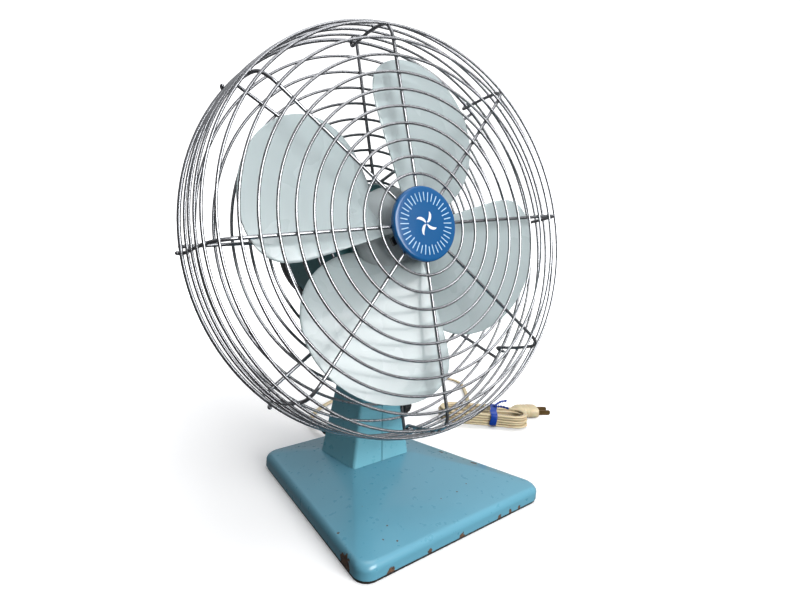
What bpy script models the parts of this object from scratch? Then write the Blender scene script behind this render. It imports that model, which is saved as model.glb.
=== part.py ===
"""Desk fan on a tapered neck: pressed-steel base, tilting and swivelling motor head, chrome wire guard.

Units are metres and +Z is up. The fan faces -Y and stands on z = 0, with its origin under the base's centre.
"""

import math

import bmesh
import bpy
from mathutils import Matrix, Vector

# Driving dimensions

FIT = 0.0003  # clearance between pieces that touch

# Base: a low pressed pyramid on a trapezoid plan
BASE_FRONT_W = 0.2214
BASE_REAR_W = 0.1367
BASE_DEPTH = 0.2106
BASE_CORNER_R = 0.0115
BASE_LIFT = 0.0023
SKIRT_Z = 0.0160
SKIRT_INSET = 0.0052
SHEET = 0.0016
PAD_Z = 0.0020
PAD_INSET = 0.0012
PLATE_INSET = 0.0030
PLATE_Z0 = PAD_Z + FIT
PLATE_SCREWS = ((0.0, -0.094), (0.0, 0.094))
PLATE_SCREW_HEAD = 0.0014

# Neck: two pressed halves that meet on the centre line
NECK_Y = 0.0297
NECK_Z0 = 0.0271
NECK_Z1 = 0.1475
NECK_W = 0.0686
NECK_D = 0.0530
NECK_TAPER_X = 0.144
NECK_TAPER_Y = 0.085
NECK_CORNER_R = 0.0030
NECK_SEAM = 0.00025  # half the gap between the two halves
NECK_MARGIN = 0.0020  # the base's flat seat beyond the neck's foot
ROD_TOP = NECK_Z1 - 0.0190
ROD_R = 0.0030

# Speed switch in the neck's right side
SPEED_Y = 0.0240
SPEED_Z = 0.0700
BUSHING_R = 0.0042
KNOB_X = 0.0340

# Tilt clevis
EAR_GAP = 0.0075
EAR_THICK = 0.0080
EAR_OUT = EAR_GAP + EAR_THICK
EAR_R = 0.0080
TONGUE_HALF = EAR_GAP - FIT
BOLT_R = 0.0026
BOLT_HEAD = 0.0036
BOLT_HOLE_R = BOLT_R + FIT
WASHER = 0.0012

# Head: tilts on a bolt at the neck's top, then swivels on a stud that tilts with it
PIVOT = Vector((0.0, 0.0292, 0.1585))
HEAD_RISE = 0.0757
TILT = math.radians(-14.67)
SWIVEL = math.radians(-7.81)

# Guard: ring radii and depths are measured in the head's own frame, front towards -Y
GUARD_Y = -0.0881
RING_COUNT = 10
RING_R = 0.1680
RING_STEP = 0.0140
RING_WIRE = 0.00125
SPOKE_WIRE = 0.0015
SPOKES = 8
FACE_RISE = 0.0067
GUARD_ROLL = math.radians(-2.6)
SIDE_RINGS = ((0.1747, 0.0118), (0.1764, 0.0227), (0.1772, 0.0336), (0.1772, 0.0446))
RIM_R = 0.1780
RIM_DEPTH = 0.0578
REAR_DEPTH = 0.0615
REAR_RINGS = 9
REAR_RING_R0 = 0.0517
REAR_RING_STEP = 0.0142
REAR_ROLL = GUARD_ROLL + math.radians(1.5)
TABS = 4
TAB_Y0, TAB_Y1 = -0.0318, -0.0303
GUARD_SCREW_R = 0.0425
WIRE_SQUARE = 0.84  # half side of the square section that stands for a round wire, over its radius
WIRE_LAP = 0.0019  # between the centre lines of crossing wires that are welded

# Badge
BADGE_R = 0.0314
BADGE_BACK = GUARD_Y - 0.0065
BADGE_FRONT = GUARD_Y - 0.0112

# Fan wheel
BLADES = 4
BLADE_TIP_R = 0.1490
BLADE_ROOT_R = 0.0200
BLADE_THICK = 0.0018
BLADE_PHASE = math.radians(15.0)
BLADE_TWIST = 0.0270  # axial travel over one sixth of a turn
BLADE_LEAD = math.radians(28.5)  # from the blade's line to its front edge
BLADE_TRAIL = math.radians(57.0)  # and to its rear edge
BLADE_CUP = 0.0040
WHEEL_Y = -0.0660
HUB_R = 0.0400

# Motor
SHAFT_R = 0.0040
WALL = 0.0018
BELL_FRONT = ((0.0135, -0.0400), (0.0260, -0.0388), (0.0350, -0.0300), (0.0478, -0.0300))
BELL_SIDE = ((0.0492, -0.0265), (0.0520, -0.0150), (0.0550, 0.0000), (0.0580, 0.0200), (0.0595, 0.0500))
CAP_PROFILE = (
    (0.0595, 0.0503), (0.0595, 0.0640), (0.0570, 0.0745), (0.0480, 0.0830), (0.0330, 0.0880),
    (0.0120, 0.0898),
)
VENT_ROWS = ((0.0518, -0.0175), (0.0543, -0.0040), (0.0570, 0.0125))
VENTS_PER_ROW = 6
BOSS_LOW = -0.0640
STUD_R = 0.0040
YOKE_TOP = 0.0112

# Oscillation drive under the rear cap
YOKE_PIN = Vector((-0.0180, 0.0180, 0.0))
LINK_Z0, LINK_Z1 = -0.0695, -0.0675
LINK_END_R = 0.0048
CRANK_Y = 0.0680
CRANK_TOP = -0.0605
DRIVE_PIN_R = 0.0025
SWING = math.radians(30.0)  # to either side of straight ahead

# Cord
CORD_R = 0.00275
HANK_CENTRE = Vector((0.212, 0.055, 0.0))
HANK_ANGLE = math.radians(-45.0)
HANK_LENGTH = 0.118
HANK_WIDTH = 0.040
HANK_LOW = 0.0020
HANK_HIGH = 0.0220
PLUG_REAR = Vector((0.2670, 0.0467, 0.0078))
PLUG_ANGLE = math.radians(-32.0)
PLUG_DIR = Vector((math.cos(PLUG_ANGLE), math.sin(PLUG_ANGLE), 0.0))
PLUG_PITCH = 0.0127
CORD_EXIT_X = 0.022
CORD_EXIT_Z = 0.0090
RELIEF_Y0 = BASE_DEPTH / 2 - 0.0050
RELIEF_Y1 = BASE_DEPTH / 2 + 0.0240
LEAD_ROUTE = (
    (CORD_EXIT_X, RELIEF_Y1 + 0.0006, CORD_EXIT_Z), (0.0224, 0.1420, 0.0082), (0.0330, 0.1720, 0.0036),
    (0.0680, 0.2010, 0.0031), (0.1250, 0.2230, 0.0031), (0.1900, 0.2330, 0.0031), (0.2520, 0.2300, 0.0031),
    (0.2960, 0.2110, 0.0031), (0.3040, 0.1780, 0.0031), (0.2800, 0.1440, 0.0034), (0.2500, 0.1120, 0.0060),
    (0.2285, 0.0880, 0.0100),
)
TAIL_ROUTE = (
    (0.2432, 0.0558, 0.0100), (0.2500, 0.0575, 0.0088), tuple(PLUG_REAR - PLUG_DIR * (0.0100 + FIT)),
)

UPRIGHT = Matrix.Rotation(math.radians(90.0), 4, "X")  # turns a piece's own +Y to +Z
SIDEWAYS = Matrix.Rotation(math.radians(-90.0), 4, "Z")  # turns a piece's own +Y to +X
FRONTWARD = Vector((0.0, 1.0, 0.0))


# Helpers

def clear_scene():
    for obj in list(bpy.data.objects):
        bpy.data.objects.remove(obj, do_unlink=True)


def material(name, color, roughness, metallic=0.0):
    mat = bpy.data.materials.new(name)
    mat.use_nodes = True
    shader = mat.node_tree.nodes["Principled BSDF"]
    shader.inputs["Base Color"].default_value = (*color, 1.0)
    shader.inputs["Roughness"].default_value = roughness
    shader.inputs["Metallic"].default_value = metallic
    mat.diffuse_color = (*color, 1.0)
    return mat


def finish(name, bm, mat, parent=None, place=None, smooth=True):
    """Turn a bmesh into a named object with outward normals."""
    bmesh.ops.recalc_face_normals(bm, faces=bm.faces[:])
    if bm.calc_volume(signed=True) < 0:
        bmesh.ops.reverse_faces(bm, faces=bm.faces[:])
    mesh = bpy.data.meshes.new(name)
    bm.to_mesh(mesh)
    bm.free()
    mesh.materials.append(mat)
    if smooth:
        mesh.shade_smooth()
        mesh.set_sharp_from_angle(angle=math.radians(35.0))
    obj = bpy.data.objects.new(name, mesh)
    bpy.context.scene.collection.objects.link(obj)
    if parent is not None:
        obj.parent = parent
    if place is not None:
        obj.matrix_local = place
    return obj


def empty(name, matrix, parent=None):
    obj = bpy.data.objects.new(name, None)
    obj.empty_display_size = 0.02
    bpy.context.scene.collection.objects.link(obj)
    obj.parent = parent
    obj.matrix_local = matrix
    return obj


def boolean(obj, others, operation):
    """Combine helper objects into obj and remove them, keeping the plain resulting mesh."""
    for other in others:
        other.hide_render = True
        other.display_type = "WIRE"
        mod = obj.modifiers.new(other.name, "BOOLEAN")
        mod.solver = "EXACT"
        mod.operation = operation
        mod.object = other
    bpy.context.view_layer.update()
    graph = bpy.context.evaluated_depsgraph_get()
    result = bpy.data.meshes.new_from_object(obj.evaluated_get(graph))
    obj.modifiers.clear()
    old = obj.data
    obj.data = result
    bpy.data.meshes.remove(old)
    for other in others:
        bpy.data.objects.remove(other, do_unlink=True)
    return obj


def loft(bm, rings, close_start=True, close_end=True, cyclic=False):
    """Skin a list of equal-length point rings into one body."""
    loops = [[bm.verts.new(point) for point in ring] for ring in rings]
    count = len(loops[0])
    pairs = list(zip(loops[:-1], loops[1:]))
    if cyclic:
        pairs.append((loops[-1], loops[0]))
    for low, high in pairs:
        for i in range(count):
            j = (i + 1) % count
            bm.faces.new((low[i], low[j], high[j], high[i]))
    if not cyclic and close_start:
        bm.faces.new(loops[0][::-1])
    if not cyclic and close_end:
        bm.faces.new(loops[-1])
    return bm


def turned(profile, segments, closed=False):
    """Body of revolution about the local Y axis from (radius, y) pairs.

    A closed profile gives a hollow piece; an open one starts and ends on the axis side and is capped.
    """
    bm = bmesh.new()
    rings = []
    for radius, y in profile:
        ring = []
        for k in range(segments):
            a = 2.0 * math.pi * k / segments
            ring.append(Vector((radius * math.sin(a), y, radius * math.cos(a))))
        rings.append(ring)
    return loft(bm, rings, cyclic=closed)


def along(start, end):
    """Matrix that takes local +Y from the origin to the direction start -> end, based at start."""
    direction = (Vector(end) - Vector(start)).normalized()
    turn = Vector((0.0, 1.0, 0.0)).rotation_difference(direction)
    return Matrix.Translation(start) @ turn.to_matrix().to_4x4()


def add_rod(bm, start, end, radius, segments=12):
    """Add a closed cylinder from start to end."""
    length = (Vector(end) - Vector(start)).length
    rod = turned([(radius, 0.0), (radius, length)], segments)
    rod.transform(along(start, end))
    mesh = bpy.data.meshes.new("rod")
    rod.to_mesh(mesh)
    rod.free()
    bm.from_mesh(mesh)
    bpy.data.meshes.remove(mesh)
    return bm


def add_box(bm, low, high):
    """Add a closed box between two corners."""
    xs, ys, zs = zip(low, high)
    ring = [(xs[0], ys[0]), (xs[1], ys[0]), (xs[1], ys[1]), (xs[0], ys[1])]
    return loft(bm, [[Vector((x, y, z)) for x, y in ring] for z in zs])


SQUARE = ((-1.0, -1.0), (1.0, -1.0), (1.0, 1.0), (-1.0, 1.0))
FLAT_BEHIND = ((1.0, -1.1), (1.0, 1.1), (-1.0, 0.0))
FLAT_AHEAD = ((-1.0, -1.1), (-1.0, 1.1), (1.0, 0.0))
FLAT_INSIDE = ((-1.1, 1.0), (1.1, 1.0), (0.0, -1.0))


def add_wire(bm, path, radius, normal, section=SQUARE, cyclic=False):
    """Sweep a section along a path that lies in the plane with this normal."""
    rings = []
    count = len(path)
    for i, point in enumerate(path):
        if cyclic:
            before, after = path[i - 1], path[(i + 1) % count]
        else:
            before, after = path[max(i - 1, 0)], path[min(i + 1, count - 1)]
        across = normal.cross((after - before).normalized())
        half = WIRE_SQUARE * radius
        rings.append([point + half * (a * normal + b * across) for a, b in section])
    return loft(bm, rings, cyclic=cyclic)


def polar(radius, phi, y=0.0):
    """Point in the head's frame: phi runs clockwise from the top, seen from the front."""
    return Vector((radius * math.sin(phi), y, radius * math.cos(phi)))


def plan_outline(front_w, rear_w, depth, radius, steps=5, centre_y=0.0):
    """Rounded trapezoid in plan, anticlockwise from above."""
    corners = [
        Vector((front_w / 2, -depth / 2)),
        Vector((rear_w / 2, depth / 2)),
        Vector((-rear_w / 2, depth / 2)),
        Vector((-front_w / 2, -depth / 2)),
    ]
    points = []
    for i, corner in enumerate(corners):
        to_before = (corners[i - 1] - corner).normalized()
        to_after = (corners[(i + 1) % 4] - corner).normalized()
        half = to_before.angle(to_after) / 2
        centre = corner + (to_before + to_after).normalized() * (radius / math.sin(half))
        reach = radius / math.tan(half)
        first = corner + to_before * reach - centre
        last = corner + to_after * reach - centre
        sweep = math.atan2(first.cross(last), first.dot(last))
        for k in range(steps):
            a = sweep * k / (steps - 1)
            x = first.x * math.cos(a) - first.y * math.sin(a)
            y = first.x * math.sin(a) + first.y * math.cos(a)
            points.append((centre.x + x, centre.y + y + centre_y))
    return points


def smooth_path(controls, spacing):
    """Points at even spacing on a Catmull-Rom curve through the control points."""
    pts = [2 * controls[0] - controls[1], *controls, 2 * controls[-1] - controls[-2]]
    dense = []
    for i in range(1, len(pts) - 2):
        p0, p1, p2, p3 = pts[i - 1], pts[i], pts[i + 1], pts[i + 2]
        for k in range(40):
            t = k / 40
            a = 2 * p1
            b = p2 - p0
            c = 2 * p0 - 5 * p1 + 4 * p2 - p3
            d = 3 * p1 - p0 - 3 * p2 + p3
            dense.append(0.5 * (a + b * t + c * t * t + d * t * t * t))
    dense.append(controls[-1].copy())
    lengths = [0.0]
    for before, after in zip(dense[:-1], dense[1:]):
        lengths.append(lengths[-1] + (after - before).length)
    count = max(2, round(lengths[-1] / spacing))
    result = []
    j = 0
    for k in range(count + 1):
        target = lengths[-1] * k / count
        while j < len(lengths) - 2 and lengths[j + 1] < target:
            j += 1
        span = lengths[j + 1] - lengths[j]
        t = (target - lengths[j]) / span if span else 0.0
        result.append(dense[j].lerp(dense[j + 1], t))
    return result


clear_scene()

# Materials

PAINT = material("base_blue", (0.17, 0.44, 0.56), 0.35)
TEAL = material("motor_teal", (0.055, 0.16, 0.175), 0.38)
BLACK = material("black_plastic", (0.012, 0.012, 0.013), 0.45)
CHROME = material("chrome_wire", (0.72, 0.73, 0.75), 0.12, 1.0)
MINT = material("blade_mint", (0.66, 0.77, 0.76), 0.35)
BADGE_BLUE = material("badge_blue", (0.005, 0.13, 0.42), 0.3)
STEEL = material("zinc_steel", (0.55, 0.55, 0.56), 0.35, 1.0)
LAMINATION = material("lamination_steel", (0.22, 0.22, 0.23), 0.55, 1.0)
COPPER = material("copper_winding", (0.72, 0.33, 0.16), 0.4, 1.0)
BRONZE = material("bearing_bronze", (0.55, 0.38, 0.18), 0.4, 1.0)
BRASS = material("plug_brass", (0.42, 0.27, 0.11), 0.35, 1.0)
RUBBER = material("foot_rubber", (0.02, 0.02, 0.02), 0.8)
FIBRE = material("base_fibreboard", (0.05, 0.05, 0.055), 0.8)
IVORY = material("cord_ivory", (0.78, 0.68, 0.46), 0.45)
TIE_BLUE = material("tie_blue", (0.005, 0.04, 0.33), 0.4)

# Base


def base_ring(inset, z, radius):
    outline = plan_outline(
        BASE_FRONT_W - 2 * inset, BASE_REAR_W - 2 * inset, BASE_DEPTH - 2 * inset, radius
    )
    return [Vector((x, y, z)) for x, y in outline]


def neck_seat_ring(width, depth, z, radius):
    outline = plan_outline(width, width, depth, radius, centre_y=NECK_Y)
    return [Vector((x, y, z)) for x, y in outline]


def make_base_shell():
    seat_w = NECK_W + 2 * NECK_MARGIN
    seat_d = NECK_D + 2 * NECK_MARGIN
    seat_z = NECK_Z0 - FIT
    outer = [
        base_ring(0.0000, BASE_LIFT, BASE_CORNER_R),
        base_ring(0.0004, 0.0075, BASE_CORNER_R),
        base_ring(0.0020, 0.0125, BASE_CORNER_R),
        base_ring(SKIRT_INSET, SKIRT_Z, BASE_CORNER_R),
        neck_seat_ring(seat_w, seat_d, seat_z, 0.004),
        neck_seat_ring(0.040, 0.030, seat_z, 0.004),
    ]
    inner = [
        neck_seat_ring(0.040, 0.030, seat_z - SHEET, 0.004),
        neck_seat_ring(seat_w, seat_d, seat_z - SHEET - 0.0002, 0.004),
        base_ring(SKIRT_INSET + SHEET, SKIRT_Z - SHEET, BASE_CORNER_R - SHEET),
        base_ring(0.0020 + SHEET, 0.0115, BASE_CORNER_R - SHEET),
        base_ring(SHEET, BASE_LIFT, BASE_CORNER_R - SHEET),
    ]
    bm = loft(bmesh.new(), outer + inner, cyclic=True)
    shell = finish("base_shell", bm, PAINT)
    port = bmesh.new()
    add_rod(port, (CORD_EXIT_X, BASE_DEPTH / 2 - 0.010, CORD_EXIT_Z),
            (CORD_EXIT_X, BASE_DEPTH / 2 + 0.010, CORD_EXIT_Z), 0.0042, 16)
    return boolean(shell, [finish("cord_port", port, PAINT)], "DIFFERENCE")


def make_base_plate():
    bm = loft(bmesh.new(), [
        base_ring(PLATE_INSET, PLATE_Z0, BASE_CORNER_R - PLATE_INSET),
        base_ring(PLATE_INSET, PLATE_Z0 + SHEET, BASE_CORNER_R - PLATE_INSET),
    ])
    plate = finish("base_plate", bm, FIBRE, smooth=False)
    holes = bmesh.new()
    add_rod(holes, (0.0, NECK_Y, 0.0), (0.0, NECK_Y, 0.02), 0.0120, 20)
    for x, y in PLATE_SCREWS:
        add_rod(holes, (x, y, 0.0), (x, y, 0.02), 0.0022, 10)
    return boolean(plate, [finish("plate_holes", holes, FIBRE)], "DIFFERENCE")


def make_base_pad():
    """Soft sheet under the plate, cut out round the screw heads."""
    rings = [base_ring(PAD_INSET, z, BASE_CORNER_R - PAD_INSET) for z in (0.0, PAD_Z)]
    pad = finish("base_pad", loft(bmesh.new(), rings), RUBBER, smooth=False)
    holes = bmesh.new()
    for x, y in PLATE_SCREWS:
        add_rod(holes, (x, y, -0.01), (x, y, 0.01), 0.0046, 12)
    boolean(pad, [finish("pad_holes", holes, RUBBER)], "DIFFERENCE")


def make_plate_screws():
    for number, (x, y) in enumerate(PLATE_SCREWS, 1):
        head_h = PLATE_SCREW_HEAD
        screw = turned([(0.0034, 0.0), (0.0034, head_h), (0.0018, head_h + 0.0001), (0.0018, 0.0100)], 12)
        place = Matrix.Translation((x, y, PLATE_Z0 - FIT - head_h))
        finish(f"plate_screw_{number}", screw, STEEL, place=place @ UPRIGHT)


make_base_shell()
make_base_plate()
make_base_pad()
make_plate_screws()

# Neck


def neck_section(z, side, wall):
    """C-shaped section of one neck half, as a closed ring at height z."""
    rise = z - NECK_Z0
    half_w = NECK_W / 2 - NECK_TAPER_X * rise
    half_d = NECK_D / 2 - NECK_TAPER_Y * rise
    gap = NECK_SEAM
    outline = []
    for inset, order in ((0.0, 1), (wall, -1)):
        hw, hd = half_w - inset, half_d - inset
        r = max(NECK_CORNER_R - inset, 0.0008)
        pts = [(gap, -hd)]
        for k in range(4):
            a = -math.pi / 2 + math.pi / 2 * k / 3
            pts.append((hw - r + r * math.cos(a), -hd + r + r * math.sin(a)))
        for k in range(4):
            a = math.pi / 2 * k / 3
            pts.append((hw - r + r * math.cos(a), hd - r + r * math.sin(a)))
        pts.append((gap, hd))
        outline += pts[::order]
    return [Vector((side * x, NECK_Y + y, z)) for x, y in outline]


def make_neck_half(name, side):
    rings = [neck_section(z, side, SHEET) for z in (NECK_Z0, NECK_Z1)]
    return finish(name, loft(bmesh.new(), rings), PAINT)


def make_neck():
    make_neck_half("neck_left", -1)
    right = make_neck_half("neck_right", 1)
    port = bmesh.new()
    add_rod(port, (0.015, SPEED_Y, SPEED_Z), (0.045, SPEED_Y, SPEED_Z), 0.0050, 16)
    boolean(right, [finish("switch_port", port, PAINT)], "DIFFERENCE")


def hex_nut(name, centre, across, height, bore, mat, axis="Z", parent=None):
    """Hexagonal nut as a hollow prism; the bore keeps its clearance to the thread."""
    bm = bmesh.new()
    rings = []
    for radius, z in ((across / 2, 0.0), (across / 2, height), (bore, height), (bore, 0.0)):
        sides = []
        for k in range(12):
            a = 2 * math.pi * k / 12
            reach = radius
            if radius > bore:
                reach = radius / max(math.cos((a % (math.pi / 3)) - math.pi / 6), 0.5)
            sides.append(Vector((reach * math.cos(a), reach * math.sin(a), z)))
        rings.append(sides)
    loft(bm, rings, cyclic=True)
    turn = Matrix.Rotation(math.radians(90.0), 4, "Y") if axis == "X" else Matrix.Identity(4)
    return finish(name, bm, mat, parent=parent, place=Matrix.Translation(centre) @ turn, smooth=False)


def flat_washer(name, radius, bore, thick, place):
    ring = turned([(radius, 0.0), (radius, thick), (bore, thick), (bore, 0.0)], 20, closed=True)
    return finish(name, ring, STEEL, place=place)


def make_neck_clamp():
    """Tie rod, washer and nut that pull the neck down on the base."""
    rod = bmesh.new()
    add_rod(rod, (0.0, NECK_Y, 0.0150), (0.0, NECK_Y, ROD_TOP - FIT), ROD_R, 12)
    finish("neck_tie_rod", rod, STEEL)
    bore = ROD_R + 0.0004
    nut_h = 0.0050
    washer_z = NECK_Z0 - FIT - SHEET - FIT - 0.0014
    flat_washer("neck_washer", 0.0240, bore, WASHER, Matrix.Translation((0.0, NECK_Y, washer_z)) @ UPRIGHT)
    hex_nut("neck_nut", (0.0, NECK_Y, washer_z - FIT - nut_h), 0.0110, nut_h, bore, STEEL)


make_neck()
make_neck_clamp()

# Neck cap with the two ears of the tilt clevis


def make_neck_cap():
    half_w = NECK_W / 2 - NECK_TAPER_X * (NECK_Z1 - NECK_Z0)
    half_d = NECK_D / 2 - NECK_TAPER_Y * (NECK_Z1 - NECK_Z0)
    bm = bmesh.new()
    top = NECK_Z1 + FIT
    inset = SHEET + FIT + 0.0002
    add_box(bm, (-half_w, NECK_Y - half_d, top), (half_w, NECK_Y + half_d, top + 0.0022))
    cap = finish("neck_cap", bm, PAINT)
    plug = bmesh.new()
    add_box(plug, (-half_w + inset, NECK_Y - half_d + inset, ROD_TOP),
            (half_w - inset, NECK_Y + half_d - inset, top + 0.0010))
    parts = [finish("cap_plug", plug, PAINT)]
    for side in (-1, 1):
        ear = bmesh.new()
        x0 = side * EAR_GAP
        x1 = side * (EAR_GAP + EAR_THICK)
        add_box(ear, (min(x0, x1), PIVOT.y - EAR_R, top + 0.0010),
                (max(x0, x1), PIVOT.y + EAR_R, PIVOT.z))
        parts.append(finish(f"ear_{side}", ear, PAINT))
        dome = bmesh.new()
        add_rod(dome, (x0, PIVOT.y, PIVOT.z), (x1, PIVOT.y, PIVOT.z), EAR_R, 20)
        parts.append(finish(f"ear_top_{side}", dome, PAINT))
    boolean(cap, parts, "UNION")
    hole = bmesh.new()
    add_rod(hole, (-0.03, PIVOT.y, PIVOT.z), (0.03, PIVOT.y, PIVOT.z), BOLT_HOLE_R, 12)
    return boolean(cap, [finish("cap_hole", hole, PAINT)], "DIFFERENCE")


make_neck_cap()

# Speed switch in the neck, with its bushing, nut and knob


def make_switch():
    body = bmesh.new()
    add_box(body, (0.0045, SPEED_Y - 0.0110, SPEED_Z - 0.0125), (0.0200, SPEED_Y + 0.0110, SPEED_Z + 0.0125))
    switch = finish("speed_switch", body, BLACK, smooth=False)
    bushing = bmesh.new()
    add_rod(bushing, (0.0190, SPEED_Y, SPEED_Z), (KNOB_X - 0.0005, SPEED_Y, SPEED_Z), BUSHING_R, 16)
    boolean(switch, [finish("switch_bushing", bushing, BLACK)], "UNION")
    hex_nut("switch_nut", (0.0308, SPEED_Y, SPEED_Z), 0.0120, 0.0022, BUSHING_R + 0.0004, STEEL, axis="X")


def make_speed_knob():
    profile = [(0.0112, 0.0), (0.0116, 0.0015), (0.0108, 0.0100), (0.0098, 0.0112)]
    place = Matrix.Translation((KNOB_X, SPEED_Y, SPEED_Z)) @ SIDEWAYS
    knob = finish("speed_knob", turned(profile, 24), BLACK, place=place)
    pointer = bmesh.new()
    low = (0.0445, SPEED_Y - 0.0012, SPEED_Z + 0.0010)
    add_box(pointer, low, (0.0465, SPEED_Y + 0.0012, SPEED_Z + 0.0120))
    boolean(knob, [finish("knob_pointer", pointer, BLACK)], "UNION")


make_switch()
make_speed_knob()

# Tilt yoke: a tongue between the ears, carrying the swivel stud

tilt_frame = empty("tilt_axis", Matrix.Translation(PIVOT) @ Matrix.Rotation(TILT, 4, "X"))


def make_tilt_yoke():
    bm = bmesh.new()
    add_rod(bm, (-TONGUE_HALF, 0.0, 0.0), (TONGUE_HALF, 0.0, 0.0), 0.0070, 20)
    yoke = finish("tilt_yoke", bm, TEAL, parent=tilt_frame)
    web = bmesh.new()
    add_box(web, (-TONGUE_HALF, -0.0060, 0.0), (TONGUE_HALF, 0.0060, 0.0090))
    table = turned([(0.0130, 0.0), (0.0130, 0.0026)], 24)
    table.transform(Matrix.Translation((0.0, 0.0, YOKE_TOP - 0.0026)) @ UPRIGHT)
    stud = turned([(STUD_R, 0.0), (STUD_R, 0.0150)], 16)
    stud.transform(Matrix.Translation((0.0, 0.0, YOKE_TOP - 0.0010)) @ UPRIGHT)
    arm = bmesh.new()
    link_floor = HEAD_RISE + LINK_Z0 - FIT
    add_box(arm, (-0.0045, 0.0, link_floor - 0.0028), (0.0045, YOKE_PIN.y + 0.0045, link_floor))
    crossbar = bmesh.new()
    add_box(crossbar, (YOKE_PIN.x - 0.0045, YOKE_PIN.y - 0.0045, link_floor - 0.0027),
            (0.0040, YOKE_PIN.y + 0.0040, link_floor - 0.0001))
    arm_pin = bmesh.new()
    add_rod(arm_pin, YOKE_PIN + Vector((0, 0, link_floor - 0.0010)),
            YOKE_PIN + Vector((0, 0, HEAD_RISE + LINK_Z1 + 0.0008)), DRIVE_PIN_R, 12)
    shapes = {"arm": arm, "crossbar": crossbar, "arm_pin": arm_pin, "web": web, "table": table, "stud": stud}
    helpers = [finish(f"yoke_{name}", shape, TEAL, parent=tilt_frame) for name, shape in shapes.items()]
    boolean(yoke, helpers, "UNION")
    hole = bmesh.new()
    add_rod(hole, (-0.02, 0.0, 0.0), (0.02, 0.0, 0.0), BOLT_HOLE_R, 12)
    return boolean(yoke, [finish("yoke_hole", hole, TEAL, parent=tilt_frame)], "DIFFERENCE")


make_tilt_yoke()

# Tilt bolt with its head on the left ear, and the clamping knob on the right


def make_tilt_bolt():
    bolt = turned([(0.0055, 0.0), (0.0055, BOLT_HEAD), (BOLT_R, BOLT_HEAD + 0.0001), (BOLT_R, 0.0424)], 16)
    place = Matrix.Translation((-EAR_OUT - FIT - BOLT_HEAD, PIVOT.y, PIVOT.z))
    finish("tilt_bolt", bolt, STEEL, place=place @ SIDEWAYS)
    place = Matrix.Translation((EAR_OUT + FIT, PIVOT.y, PIVOT.z))
    flat_washer("tilt_washer", 0.0062, BOLT_HOLE_R, WASHER, place @ SIDEWAYS)


def make_tilt_knob():
    """Five-lobed clamping knob on the tilt bolt, with a blind bore."""
    bm = bmesh.new()
    rings = []
    for scale, x in ((0.90, 0.0), (1.0, 0.0012), (1.0, 0.0085), (0.84, 0.0100)):
        ring = []
        for k in range(30):
            a = 2 * math.pi * k / 30
            r = scale * (0.0100 + 0.0013 * math.cos(5 * a))
            ring.append(Vector((x, r * math.sin(a), r * math.cos(a))))
        rings.append(ring)
    loft(bm, rings)
    place = Matrix.Translation((EAR_OUT + FIT + WASHER + FIT, PIVOT.y, PIVOT.z))
    knob = finish("tilt_knob", bm, BLACK, place=place)
    bore = bmesh.new()
    add_rod(bore, (0.0, PIVOT.y, PIVOT.z), (0.0236, PIVOT.y, PIVOT.z), BOLT_HOLE_R, 16)
    return boolean(knob, [finish("knob_bore", bore, BLACK)], "DIFFERENCE")


make_tilt_bolt()
make_tilt_knob()

# Head frame: on the swivel axis, level with the fan shaft

head = empty("head_axis", Matrix.Translation((0.0, 0.0, HEAD_RISE)) @ Matrix.Rotation(SWIVEL, 4, "Z"),
             parent=tilt_frame)

# Motor bell with its front shoulder, vents and swivel boss


def join(bm, piece, turn):
    """Add a turned copy of a small body to bm."""
    piece.transform(turn)
    mesh = bpy.data.meshes.new("joined")
    piece.to_mesh(mesh)
    piece.free()
    bm.from_mesh(mesh)
    bpy.data.meshes.remove(mesh)


def make_bell():
    """Motor shell, open behind, with a bearing seat in its nose and a swivel boss below."""
    nose_y = BELL_FRONT[0][1]
    inner = [(0.0095, nose_y), (0.0095, nose_y + 0.0120), (0.0200, nose_y + 0.0120), (0.0315, -0.0285)]
    inner += [(BELL_FRONT[-1][0] - WALL, BELL_FRONT[-1][1] + WALL)]
    inner += [(r - WALL, y) for r, y in BELL_SIDE]
    profile = [*BELL_FRONT, *BELL_SIDE, *inner[::-1]]
    bell = finish("motor_bell", turned(profile, 24, closed=True), TEAL, parent=head)
    boss = turned([(0.0115, 0.0), (0.0115, 0.0180)], 20)
    boss.transform(Matrix.Translation((0.0, 0.0, BOSS_LOW)) @ UPRIGHT)
    boolean(bell, [finish("bell_boss", boss, TEAL, parent=head)], "UNION")
    cuts = bmesh.new()
    add_rod(cuts, (0.0, 0.0, BOSS_LOW - 0.0060), (0.0, 0.0, BOSS_LOW + 0.0156), STUD_R + FIT, 16)
    for k in range(TABS):
        p = tab_point(k)
        add_rod(cuts, (p.x, -0.0350, p.z), (p.x, -0.0200, p.z), 0.0021, 10)
    tools = [finish("bell_holes", cuts, TEAL, parent=head), finish("bell_vents", vents(), TEAL, parent=head)]
    return boolean(bell, tools, "DIFFERENCE")


def tab_point(k):
    """Where the rear guard's tab is screwed to the bell's shoulder."""
    return polar(GUARD_SCREW_R, 2 * math.pi * (k + 0.5) / TABS + GUARD_ROLL)


def vents():
    """Cutters for the rows of cooling slots, left out above the swivel boss."""
    bm = bmesh.new()
    for row, (radius, y) in enumerate(VENT_ROWS):
        half = 0.0070 + 0.0004 * row
        for k in range(VENTS_PER_ROW):
            phi = 2 * math.pi * (k + 0.35) / VENTS_PER_ROW
            if abs(math.pi - phi) < 0.5:
                continue
            slot = bmesh.new()
            add_box(slot, (-half, y - 0.0013, radius - 0.0050), (half, y + 0.0013, radius + 0.0060))
            join(bm, slot, Matrix.Rotation(phi, 4, "Y"))
    return bm


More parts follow.
